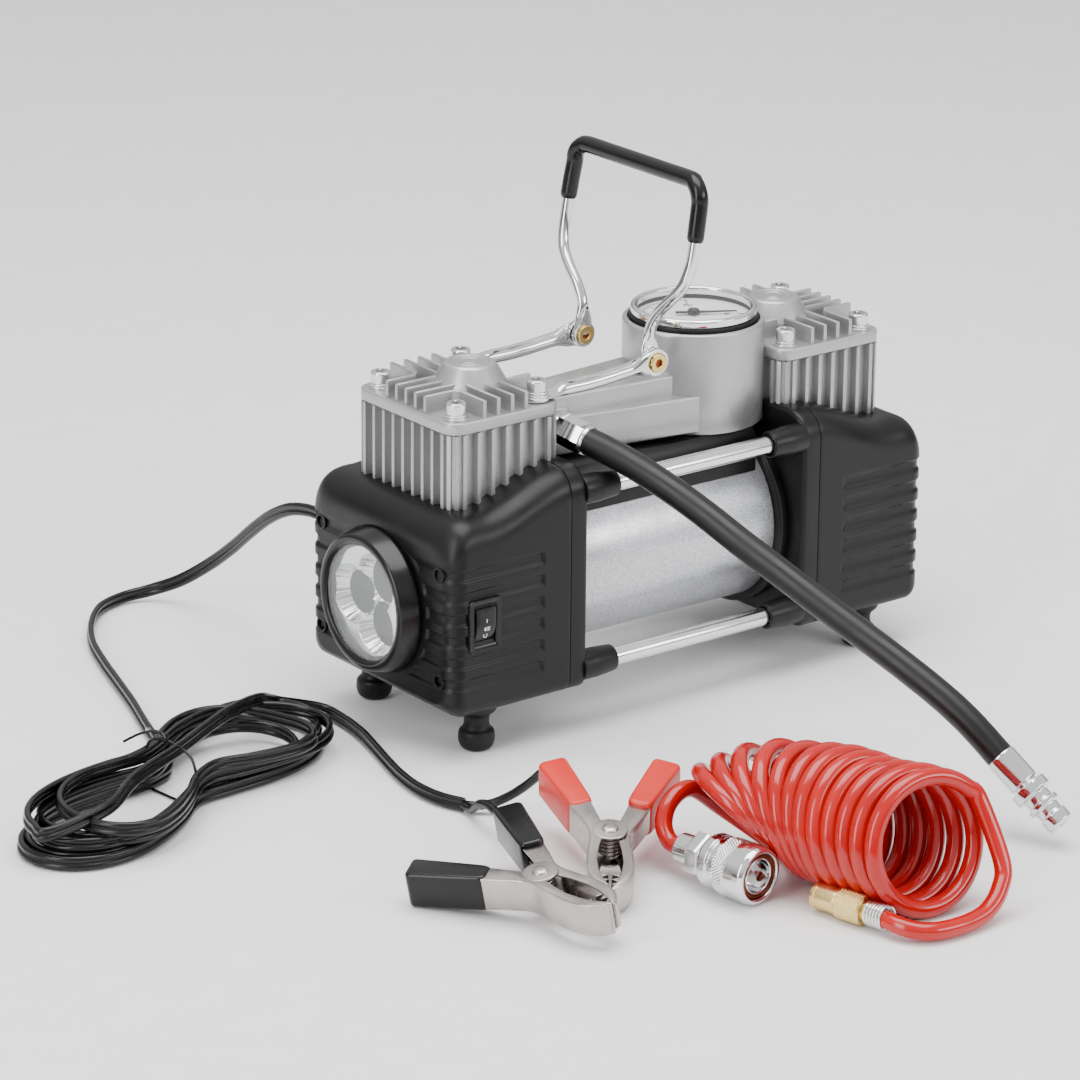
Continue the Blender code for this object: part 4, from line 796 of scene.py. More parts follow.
@dataclass
class Cylinders:
    """The finned cylinder blocks, their finned heads and the cap screws."""

    head_u: float = 88.65
    half_x: float = 28.8
    half_y: float = 34.6
    corner: float = 7.0
    low: float = 98.0
    plate: tuple[float, float] = (138.3, 143.5)
    fin_top: float = 151.0
    fin_thick: float = 1.7
    slot_deep: float = 3.4
    screw: tuple[float, float] = (20.85, 26.7)
    dome_shift: float = 5.7

    def fins(self, length: float, count: int) -> list[tuple[float, float]]:
        """Offsets along a side and depths, for slots between fins of an even pitch."""
        pitch = length / count
        starts = -length / 2 + pitch * np.arange(count)
        thick = self.fin_thick
        made = []
        for start in starts:
            a, b = start + thick / 2, start + pitch - thick / 2
            made += [(a, 0.0), (a + 0.25, self.slot_deep), (b - 0.25, self.slot_deep), (b, 0.0)]
        return made

    def corner_ribs(self, x: float, y: float, start: float) -> np.ndarray:
        """A quarter circle with three shallow slots: radius c - 1.5 inside each slot."""
        turns, radii = [0.0], [self.corner]
        for middle in (16.0, 45.0, 74.0):
            turns += [middle - 8, middle - 6.5, middle + 6.5, middle + 8]
            radii += [self.corner, self.corner - 1.5, self.corner - 1.5, self.corner]
        turn, radius = np.radians(np.array(turns + [90.0]) + start), np.array(radii + [self.corner])
        return np.stack([x + radius * np.cos(turn), y + radius * np.sin(turn)], -1)

    def outline(self, middle: float) -> np.ndarray:
        """The block from above: slots along four sides between round corners."""
        run_x, run_y = 2 * (self.half_x - self.corner), 2 * (self.half_y - self.corner)
        hx, hy, c = self.half_x, self.half_y, self.corner
        parts = [self.corner_ribs(hx - c, -hy + c, -90), [(hx - d, s) for s, d in self.fins(run_y, 8)],
                 self.corner_ribs(hx - c, hy - c, 0), [(-s, hy - d) for s, d in self.fins(run_x, 6)],
                 self.corner_ribs(-hx + c, hy - c, 90), [(-hx + d, -s) for s, d in self.fins(run_y, 8)],
                 self.corner_ribs(-hx + c, -hy + c, 180), [(s, -hy + d) for s, d in self.fins(run_x, 6)]]
        return np.concatenate([np.asarray(part, float) for part in parts]) + (middle, 0)

    def top_fins(self, side: int, middle: float) -> list[np.ndarray]:
        """Fin outlines on a head: nested angles round the outer screws and straight ones elsewhere.

        Args:
            side: -1 for the front head, 1 for the rear.
            middle: X of the head's middle.

        Returns:
            One outline for each fin.
        """
        half, edge_x, edge_y = self.fin_thick / 2, self.half_x - 1.6, self.half_y - 1.6
        made = []
        for x, y in ((-10.8, 13.4), (-3.6, 6.7)):
            made.append([(-edge_x, y - half), (x + half - 3, y - half), (x + half, y - half + 3),
                         (x + half, edge_y), (x - half, edge_y), (x - half, y + half + 2),
                         (x - half - 2, y + half), (-edge_x, y + half)])
        for x in (3.6, 10.8):
            made.append(oblong(x - half, x + half, 14.5, edge_y))
        made.append(oblong(15, edge_x, 13.4 - half, 13.4 + half))
        made += [[(x, -y) for x, y in fin] for fin in made]
        made.append(oblong(-edge_x, -8, -half, half))
        return [np.array([(middle - side * x, y) for x, y in fin]) for fin in made]

    def head(self, side: int, end: str) -> bpy.types.Object:
        """The head: plate, fins and the ringed valve dome.

        Args:
            side: -1 for the front head, 1 for the rear.
            end: the word that its node's name starts with.

        Returns:
            The object.
        """
        middle = MID_X + side * self.head_u
        low, high = self.plate
        plate = round_box((middle - self.half_x, -self.half_y), (middle + self.half_x, self.half_y),
                          self.corner, 8)
        form = Form().raised(plate, low, high, edge=0.7)
        for fin in self.top_fins(side, middle):
            form.raised(fin, high - 1, self.fin_top, edge=0.45)
        dome = [(0, -1), (16.0, -1), (16.0, 4.6), (15.2, 6.2), (11.3, 12.7), (9.9, 13.5), (8.2, 13.5),
                (8.0, 13.0), (6.6, 13.0), (6.4, 13.4), (5.0, 13.4), (4.8, 12.9), (3.4, 12.9), (3.2, 13.3),
                (0, 13.3)]
        form.turned(dome, place_along((middle - side * self.dome_shift, 0, high), (0, 0, 1)), 0.35, 72)
        return piece(form, f"{end}_head_casting", (SILVER,), ROOT, [f"{end}_head_cover"])

    def screws(self, side: int, end: str) -> bpy.types.Object:
        """Four cap screws with star sockets, each on a spring washer and a flat washer.

        Args:
            side: -1 for the front head, 1 for the rear.
            end: the word that its name starts with.

        Returns:
            The object.
        """
        middle = MID_X + side * self.head_u
        form = Form()
        for sx in (-1, 1):
            for sy in (-1, 1):
                lift = 2.3 if side < 0 < sx else 0.05
                where = place_along((middle + sx * self.screw[0], sy * self.screw[1],
                                     self.plate[1] + lift), (0, 0, 1))
                form.turned(oblong(0, 2.4, -5.2 - lift, 0.1), where, 0.1, 24)
                form.turned(oblong(2.55, 5.3, 0, 0.9), where, 0.2, 40)
                form.turned(oblong(2.55, 4.6, 0.95, 2.0), where, 0.25, 40)
                form.turned([(0, 2.05), (4.2, 2.05), (4.25, 2.4), (4.25, 6.4), (3.8, 7.0), (2.6, 7.0),
                             (2.3, 6.6), (2.3, 4.2), (0, 4.0)], where, 0.3, 48)
                turn = np.linspace(0, 2 * math.pi, 60, endpoint=False)
                wave = (2.32 + 0.32 * np.cos(6 * turn))[:, None] * np.stack([np.cos(turn), np.sin(turn)],
                                                                            -1)
                outer = 2.75 * np.stack([np.cos(turn), np.sin(turn)], -1)
                rows = np.stack([np.concatenate([ring, np.full((60, 1), z)], 1) for ring, z in
                                 ((wave, 4.1), (outer, 4.1), (outer, 7.02), (wave, 7.02))])
                form.grid(moved(rows, where), True)
        return piece(form, f"{end}_head_screws", (ZINC,))

    def build(self) -> None:
        """Makes both blocks, heads and sets of screws."""
        for side, end in ((-1, "front"), (1, "rear")):
            form = Form().raised(self.outline(MID_X + side * self.head_u), self.low, 138.0, edge=0.35)
            piece(form, f"{end}_block_casting", (SILVER,), ROOT, [f"{end}_cylinder_block"])
            self.head(side, end)
            self.screws(side, end)


@dataclass
class Manifold:
    """The air manifold with its gauge pod, and the saddle under it."""

    pod_x: float = MID_X + 38.0
    pod_radius: float = 31.0
    base: float = 110.6
    top: float = 155.5
    arm_end: float = MID_X - 59.5

    def build(self) -> None:
        """Makes the stepped arm, the pod and the saddle."""
        px, end = self.pod_x, self.arm_end
        lower = np.array([(end, -13.2), (px - 17, -25.9), (px, -27), (px, 27), (px - 17, 25.9),
                          (end, 13.2)])
        upper = np.array([(end, -10.8), (px - 26, -17.5), (px, -20), (px, 20), (px - 26, 17.5),
                          (end, 10.8)])
        form = Form().raised(soften(lower, 2.0, 3), 112.0, 128.4, edge=0.9)
        form.raised(soften(upper, 2.0, 3), 126.0, 137.0, edge=0.9)
        form.raised(soften([(end + 3, -7), (px - 44, -9.5), (px - 44, 9.5), (end + 3, 7)], 1.5), 136,
                    138.4, edge=0.8)
        pod = [(0, self.base), (self.pod_radius, self.base), (self.pod_radius, self.top - 0.9),
               (self.pod_radius - 0.9, self.top), (28.7, self.top), (28.7, 152.6), (20.7, 152.6),
               (20.7, 138.0), (0, 138.0)]
        form.turned(pod, place_along((px, 0, 0), (0, 0, 1)), 0.7, 128)
        form.raised(round_box((MID_X - 59.2, -20.2), (MID_X - 44.6, -8), 2.2), 118.6, 135.2, edge=1.0)
        piece(form, "manifold_casting", (SILVER,), ROOT, ["manifold"])
        self.saddle()

    def saddle(self) -> bpy.types.Object:
        """The black plate between the motor and the manifold, hollowed to fit the tube."""
        top, clear, half = self.base - 0.3, 39.6, 27.0
        limit = math.degrees(math.asin((half + 3) / clear))
        under = arc((0, 64.6), clear, 90 + limit, 90 - limit, 32)
        outline = np.concatenate([[(-half, top), (-half - 3, top - 4)], under,
                                  [(half + 3, top - 4), (half, top)]])
        stand = np.array([[0, 0, 1, 0], [1, 0, 0, 0], [0, 1, 0, 0], [0, 0, 0, 1.0]])
        form = Form().raised(outline[::-1], MID_X - 50, MID_X + 50, stand, 0.5)
        return piece(form, "manifold_saddle_plate", (BLACK,), ROOT, ["manifold_saddle"])


@dataclass
class Gauge:
    """The pressure gauge in the pod."""

    x: float = MID_X + 38.0
    zero: float = -30.0
    sweep: float = 270.0

    def axis(self) -> np.ndarray:
        """The gauge's upright axis."""
        return place_along((self.x, 0, 0), (0, 0, 1), (1, 0, 0))

    def mark(self, turn: float, inner: float, outer: float, wide: float) -> np.ndarray:
        """A thin bar's outline between two radii at an angle in degrees."""
        a = math.radians(turn)
        way, side = np.array([math.cos(a), math.sin(a)]), np.array([-math.sin(a), math.cos(a)])
        return np.array([way * inner - side * wide, way * outer - side * wide, way * outer + side * wide,
                         way * inner + side * wide])

    def numbers(self) -> bpy.types.Object:
        """Plain figures round the scale, turned into one mesh."""
        parts = []
        for k in range(6):
            angle = math.radians(self.zero - k * self.sweep / 5)
            text = bpy.data.curves.new("dial_figure", "FONT")
            text.body, text.size, text.align_x, text.align_y = str(2 * k), 4.6 * MM, "CENTER", "CENTER"
            text.extrude = 0.05 * MM
            made = bpy.data.objects.new("dial_figure", text)
            bpy.context.scene.collection.objects.link(made)
            bpy.context.view_layer.update()
            mesh = bpy.data.meshes.new_from_object(made)
            spot = Vector((self.x + 14.6 * math.cos(angle), 14.6 * math.sin(angle), 155.75)) * MM
            turn = math.radians(self.zero - self.sweep / 2 - 90)
            mesh.transform(Matrix.Translation(spot) @ Matrix.Rotation(turn, 4, "Z"))
            parts.append(mesh)
            bpy.data.objects.remove(made, do_unlink=True)
        bm = bmesh.new()
        for mesh in parts:
            bm.from_mesh(mesh)
        whole = bpy.data.meshes.new("dial_figures")
        bm.to_mesh(whole)
        bm.free()
        whole.materials.clear()
        whole.materials.append(INK.material())
        made = bpy.data.objects.new("dial_figures", whole)
        bpy.context.scene.collection.objects.link(made)
        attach(made, ROOT)
        return made

    def build(self) -> None:
        """Makes the case, dial, scale, needle and lens."""
        axis = self.axis()
        case = [(0, 138.4), (20.2, 138.4), (20.2, 152.8), (27.6, 152.8), (28.0, 154.0), (28.0, 156.6),
                (27.5, 157.2), (25.9, 157.2), (25.9, 154.6), (0, 154.6)]
        piece(Form().turned(case, axis, 0.4, 96), "gauge_case_rubber", (RUBBER,), ROOT, ["gauge_case"])
        form = Form().turned(oblong(0, 25.5, 154.9, 155.6), axis, 0.1, 96)
        piece(form, "gauge_dial_card", (DIAL,), ROOT, ["gauge_dial"])
        scale = Form()
        for k in range(51):
            turn = self.zero - k * self.sweep / 50
            inner, wide = (19.0, 0.32) if k % 10 == 0 else ((20.2, 0.2) if k % 5 == 0 else (21.2, 0.12))
            scale.raised(self.mark(turn, inner, 22.6, wide), 155.58, 155.68, axis, 0)
        band = np.radians(np.linspace(self.zero, self.zero - self.sweep, 90))
        rows = np.stack([np.stack([r * np.cos(band), r * np.sin(band), z + 0 * band], -1)
                         for r, z in ((22.6, 155.58), (22.95, 155.58), (22.95, 155.67), (22.6, 155.67))],
                        1)
        scale.grid(moved(rows, axis), False)
        piece(scale, "dial_scale", (INK,))
        self.numbers()
        needle = Form().raised(np.array([(-8, -1.1), (0, -1.3), (19, -0.25), (19, 0.25), (0, 1.3),
                                         (-8, 1.1)]), 156.6,
                               157.2, axis @ self.spin(self.zero), 0.1)
        needle.turned([(0, 156.1), (2.6, 156.1), (2.6, 158.0), (2.0, 158.4), (0, 158.4)], axis, 0.3, 32)
        piece(needle, "needle_black", (GLOSS_BLACK,), "needle", ["gauge_needle"])
        lens = oblong(0, 24.9, 159.9, 160.6)
        piece(Form().turned(lens, axis, 0.15, 96), "gauge_window", (WINDOW,), ROOT)
        ring = [(24.95, 157.5), (27.5, 157.5), (27.5, 160.2), (26.6, 161.0), (25.6, 161.0),
                (24.95, 160.3)]
        piece(Form().turned(ring, axis, 0.4, 128), "gauge_lens_ring", (CHROME,), ROOT, ["gauge_lens"])

    def spin(self, degrees: float) -> np.ndarray:
        """A turn about Z as a matrix."""
        a = math.radians(degrees)
        made = np.eye(4)
        made[:2, :2] = [[math.cos(a), -math.sin(a)], [math.sin(a), math.cos(a)]]
        return made


@dataclass
class Handle:
    """Two arms screwed to the front head, brass eyelets and the folding bail with its grip."""

    pivot: tuple[float, float] = (MID_X - 4.2, 148.6)
    arm_y: float = 26.7
    arm_radius: float = 3.2
    wire_radius: float = 2.5
    grip_radius: float = 3.7
    screw_x: float = MID_X - 88.65 + 20.85

    def bail_half(self) -> list[tuple[float, float, float]]:
        """Half of the bail's wire, from its flat to the middle of the top bar."""
        half = [(-4.5, 23.5, 148.6), (-4.5, 23.4, 153), (-4.9, 22.9, 158), (-4.8, 24, 164),
                (-4.5, 28, 170.5), (-3.9, 34.5, 177), (-2.2, 40.6, 184), (0.1, 43, 192.5),
                (1.9, 43.4, 202), (3.4, 43.2, 211), (5, 42.7, 220)]
        turn = [math.radians(a) for a in (15, 38, 62, 86)]
        corner = [(6.4 - 1.4 * math.cos(a), 34.7 + 8 * math.cos(a), 221 + 8 * math.sin(a)) for a in turn]
        top = [(6.4, 20, 229), (6.4, 0, 229)]
        return [(x + MID_X, y, z) for x, y, z in half + corner + top]

    def arm(self, sign: int, name: str) -> bpy.types.Object:
        """One arm: a round bar whose ends are hammered flat, level at the screw and upright at the pin.

        Args:
            sign: -1 for the near arm, 1 for the far one.
            name: the frame node it stands for.

        Returns:
            The object.
        """
        y, (px, pz) = sign * self.arm_y, self.pivot
        route = [(self.screw_x, y, 144.9), (self.screw_x + 7, y, 145.2), (-48, y, 146.0), (-38, y, 146.0),
                 (-28, y, 146.5), (-19, y, 147.3), (-8, y, 148.2), (px, y, pz)]
        line = smooth_line(route, 0.9)
        reach = np.linspace(0, line_length(line), len(line))
        first = np.clip((reach - 4.0) / 11.0, 0, 1)
        last = np.clip((reach[-1] - reach - 3.0) / 13.0, 0, 1)
        first, last = eased(first), eased(last)
        wide = (5.2 + (self.arm_radius - 5.2) * first) * last + 1.3 * (1 - last)
        tall = (0.95 + (self.arm_radius - 0.95) * first) * last + 5.6 * (1 - last)
        form = Form().swept(line, ring_section(1.0, 28), np.stack([wide, tall], -1))
        eye = place_along((self.screw_x, y, 0), (0, 0, 1))
        form.turned(oblong(2.75, 5.6, 143.9, 145.75), eye, 0.4, 40)
        pin = place_along((px, y, pz), (0, 1, 0))
        form.turned(oblong(2.9, 6.0, -1.3, 1.3), pin, 0.45, 40)
        return piece(form, f"{name}_bar", (CHROME,), ROOT, [name])

    def eyelet(self, sign: int, name: str) -> bpy.types.Object:
        """A brass eyelet with rolled lips, its bore closed by a dark brass plug that is painted shade."""
        where = place_along((self.pivot[0], sign * 28.3, self.pivot[1]), (0, -sign, 0))
        profile = [(1.75, -0.9), (3.9, -1.0), (4.4, -0.5), (4.2, 0.0), (2.7, 0.0), (2.7, 6.2), (4.2, 6.2),
                   (4.4, 6.7), (3.9, 7.1), (1.75, 7.0)]
        form = Form().turned(profile, where, 0.35, 48)
        # A dark plug that closes the bore: painted shade standing in for the hollow.
        form.turned(oblong(0, 1.8, 0.2, 5.8), where, 0.1, 32, 1)
        return piece(form, f"{name}_eyelet", (BRASS, SHADED_BORE_BRASS), ROOT, [name])

    def build(self) -> None:
        """Makes the arms, eyelets, bail and grip."""
        for sign, word in ((-1, "near"), (1, "far")):
            self.arm(sign, f"handle_arm_{word}")
            self.eyelet(sign, f"handle_rivet_{word}")
        half = self.bail_half()
        whole = [(x, -y, z) for x, y, z in half[:-1]] + half[::-1]
        line = smooth_line(whole, 1.0)
        reach = np.linspace(0, line_length(line), len(line))
        ends = np.minimum(reach, reach[-1] - reach)
        share = eased(np.clip((ends - 3.5) / 11.0, 0, 1))
        thin = 1.25 + (self.wire_radius - 1.25) * share
        broad = 4.9 + (self.wire_radius - 4.9) * share
        form = Form().swept(line, ring_section(1.0, 24), np.stack([thin, broad], -1), up=(1, 0, 0))
        for sign in (-1, 1):
            pin = place_along((self.pivot[0], sign * 23.55, self.pivot[1]), (0, 1, 0))
            form.turned(oblong(2.9, 5.6, -1.25, 1.25), pin, 0.45, 40)
        piece(form, "handle_bail_wire", (CHROME,), "handle", ["handle_bail"])
        gripped = line[line[:, 2] > 204]
        lip = np.minimum(np.arange(len(gripped)), np.arange(len(gripped))[::-1])
        size = self.grip_radius - 0.7 * np.clip(1 - lip / 2.0, 0, 1) ** 2
        grip = Form().swept(gripped, ring_section(1.0, 32), np.stack([size, size], -1), up=(1, 0, 0))
        piece(grip, "handle_grip_sleeve", (GLOSS_BLACK,), "handle", ["handle_grip"])


@dataclass
class Lamp:
    """The work lamp on the front case: bezel, streaked reflector, bulb and lens."""

    z: float = 60.9
    rim: float = 135.8
    wide: float = 23.6
    deep: float = 13.0
    cup_at: float = 11.2

    def cups(self) -> np.ndarray:
        """Three fluted bowls that meet: height = rim - deep + deep (p / 13)^2 + 0.35 |sin 15 b|.

        p and b are the distance and angle from the nearest of three centres round the axis. The back
        follows 1.2 mm behind the deepest surface.

        Returns:
            Rows of points, the front's from the middle outwards and then the back's.
        """
        radius = np.linspace(0.2, self.wide, 90)[:, None]
        turn = np.linspace(0, 2 * math.pi, 360, endpoint=False)[None, :]
        x, y = radius * np.cos(turn), radius * np.sin(turn)
        centres = np.radians([90, 210, 330])
        away_x = np.stack([x - self.cup_at * math.cos(c) for c in centres])
        away_y = np.stack([y - self.cup_at * math.sin(c) for c in centres])
        near = np.argmin(np.hypot(away_x, away_y), axis=0)[None]
        px, py = np.take_along_axis(away_x, near, 0)[0], np.take_along_axis(away_y, near, 0)[0]
        reach = np.hypot(px, py)
        flute = 0.35 * np.abs(np.sin(15 * np.arctan2(py, px))) * np.clip(reach / 6, 0, 1)
        rise = np.minimum(self.rim - self.deep + self.deep * (reach / 13.0) ** 2 + flute, self.rim)
        front = np.stack([x, y, rise], -1)
        low = 117.0 + (self.rim - 119.0) * np.clip((radius - 12) / 11.6, 0, 1) ** 1.6 + 0 * turn
        low = np.minimum(low, rise - 0.8)
        back = np.stack([x * 1.02, y * 1.02, low], -1)
        return np.concatenate([front, back[::-1]])

    def build(self) -> None:
        """Makes the lamp's parts, each turned about its axis."""
        axis = place_along((MID_X, 0, self.z), (-1, 0, 0))
        bezel = [(25.2, 139.0), (26.0, 139.6), (26.8, 140.0), (28.2, 140.0), (29.4, 139.2), (31.6, 131.6),
                 (31.6, 130.3), (27.3, 130.3), (27.3, 124), (24.8, 124), (24.8, 136.3), (25.2, 136.6)]
        piece(Form().turned(bezel, axis, 0.5, 128), "lamp_bezel_ring", (GLOSS_BLACK,), ROOT,
              ["lamp_bezel"])
        form = Form().grid(moved(self.cups(), axis), True)
        piece(form, "lamp_reflector_cup", (MIRROR,), ROOT, ["lamp_reflector"])
        emitters = Form()
        for k in range(3):
            turn = math.radians(90 + 120 * k)
            middle = (self.cup_at * math.cos(turn), self.cup_at * math.sin(turn), 0)
            spot = axis @ place_along(middle, (0, 0, 1), (1, 0, 0))
            emitters.turned([(0, 121.0), (2.6, 121.0), (2.6, 122.6), (1.8, 123.8), (0, 124.4)], spot, 0.5,
                            32)
        piece(emitters, "lamp_emitters", (DIAL,))
        lens = [(0, 138.9), (24.6, 138.7), (25.4, 138.0), (25.4, 136.7), (0, 136.7)]
        piece(Form().turned(lens, axis, 0.4, 96), "lamp_lens_disc", (CLEAR,), ROOT, ["lamp_lens"])


class Symbol(Enum):
    """What is printed on the rocker."""

    BAR = "bar"
    BEAM = "beam"
    RING = "ring"


@dataclass
class Switch:
    """The rocker switch, its frame and its print."""

    x: float = MID_X - 113.1
    z: float = 61.2
    half: tuple[float, float] = (8.3, 11.55)
    well: tuple[float, float] = (5.5, 8.8)
    rocker_y: float = -49.3
    half_long: float = 8.0
    tilt: float = 9.0

    def face(self) -> np.ndarray:
        """A frame on the case's near side: X along, Y up and Z outwards."""
        made = np.eye(4)
        made[:3] = [[1, 0, 0, self.x], [0, 0, -1, 0], [0, 1, 0, self.z]]
        return made

    def stand(self) -> np.ndarray:
        """The rocker's frame, tilted about its own axis: X up, Y outwards and Z along the case."""
        a = math.radians(self.tilt)
        stand = np.array([[0, 0, 1, 0], [0, -1, 0, 0], [1, 0, 0, 0], [0, 0, 0, 1.0]])
        turn, at = np.eye(4), np.eye(4)
        turn[1:3, 1:3] = [[math.cos(a), -math.sin(a)], [math.sin(a), math.cos(a)]]
        at[:3, 3] = (self.x, self.rocker_y, self.z)
        return at @ turn @ stand

    def crown(self, share: float | np.ndarray) -> float | np.ndarray:
        """The rocker's height at a share s of its half length: 4.2 - 1.6 |s|^1.3 + 0.5 s^2 (1 - s^2)."""
        return 4.2 - 1.6 * abs(share) ** 1.3 + 0.5 * share ** 2 * (1 - share ** 2)

    def marks(self, form: Form, place: np.ndarray) -> None:
        """Adds the printed symbols down the rocker's face.

        Args:
            form: the rocker's form, whose second finish they take.
            place: the rocker's frame.
        """
        thick = 0.14
        bar = np.array(oblong(-0.9, 0.9, -0.2, 0.2))
        for height, symbol in ((2.6, Symbol.BAR), (-0.9, Symbol.BEAM), (-4.2, Symbol.RING)):
            where = place @ place_along((height, self.crown(height / self.half_long) - 0.02, 0),
                                        (0, 1, 0), (1, 0, 0))
            if symbol is Symbol.BAR:
                form.raised(bar, 0, thick, where, 0, 1)
            elif symbol is Symbol.BEAM:
                form.raised(arc((0, 0.2), 1.0, 0, 180, 12), 0, thick, where, 0, 1)
                for k in (-0.7, 0, 0.7):
                    form.raised(bar[:, ::-1] * (0.9, 0.8) + (k, -1.0), 0, thick, where, 0, 1)
            else:
                form.turned(oblong(0.75, 1.1, 0, thick), where, 0, 32, 1)

    def build(self) -> None:
        """Makes the frame, the rocker and its marks."""
        outer = round_box((-self.half[0], -self.half[1]), self.half, 1.6, 5)
        inner = round_box((-self.well[0], -self.well[1]), self.well, 0.5, 5)
        levels = [(inner, 42.0), (inner * 1.08, 42.0), (outer, 51.2), (outer, 52.3),
                  (outer * 0.975, 52.8), (inner * 1.10, 52.8), (inner, 52.2)]
        rows = np.stack([np.concatenate([line, np.full((len(line), 1), z)], 1) for line, z in levels])
        piece(Form().grid(moved(rows, self.face()), True), "switch_frame_rim", (GLOSS_BLACK,), ROOT,
              ["switch_frame"])
        place = self.stand()
        along = np.linspace(1, -1, 25)
        top = np.stack([self.half_long * along, self.crown(along)], -1)
        outline = np.concatenate([[(-7.6, -1.5), (-3, -5.4), (3, -5.4), (7.6, -1.5)], top])
        form = Form().raised(outline, -5.0, 5.0, place, 0.5)
        self.marks(form, place)
        piece(form, "switch_rocker_cap", (GLOSS_BLACK, WHITE), "rocker", ["switch_rocker"])


@dataclass
class AirHose:
    """The rubber hose with its hexagonal ferrule and chromed quick plug."""

    radius: float = 6.0
    route: tuple[tuple[float, float, float], ...] = (
        (-43.2, -36, 124.6), (-38, -52.6, 120.4), (-32.3, -72.1, 113.8), (-26.5, -91.5, 105.6),
        (-20.9, -110.8, 96.2), (-15.1, -129.9, 87.2), (-9.4, -148.8, 78.2), (-3.7, -167.6, 69.6),
        (1.9, -186.2, 61), (7.5, -204.8, 51.6), (11.7, -218.6, 43), (15.9, -232.6, 32))

    def build(self) -> None:
        points = np.array(self.route)
        ahead = unit(points[1] - points[0])
        root = place_along(points[0] - ahead * 16, ahead)
        fitting = Form().raised(arc((0, 0), 6.9, 30, 330, 5), 2.0, 15.7, root, 0.6)
        fitting.turned(oblong(0, 5, -4, 2.6), root, 0.4, 40)
        fitting.turned([(0, 15.0), (6.5, 15.0), (6.7, 16.2), (6.4, 17.2), (0, 17.2)], root, 0.4, 40)
        piece(fitting, "hose_fitting_hex", (CHROME,), ROOT, ["hose_fitting"])
        line = smooth_line(points, 2.0)
        hose = piece(Form().swept(line, ring_section(self.radius, 32)), "air_hose_tube", (HOSE,), ROOT,
                     ["air_hose"])
        end = place_along(points[-1], points[-1] - points[-2])
        profile = [(0, 0.3), (6.3, 0.3), (6.5, 1.0), (6.5, 15), (5, 15.6), (5, 16.5), (8.2, 16.8),
                   (8.2, 21), (5.6, 21.8), (5.6, 25), (7, 25.6), (7, 27.6), (5.2, 28.2), (5, 31.2),
                   (5.9, 32.2), (5.8, 36.5), (5, 37.3), (2.6, 37.3), (2.6, 33.0), (0, 33.0)]
        plug = piece(Form().turned(profile, end, 0.35, 64), "quick_plug_body", (CHROME,), ROOT,
                     ["quick_plug"])


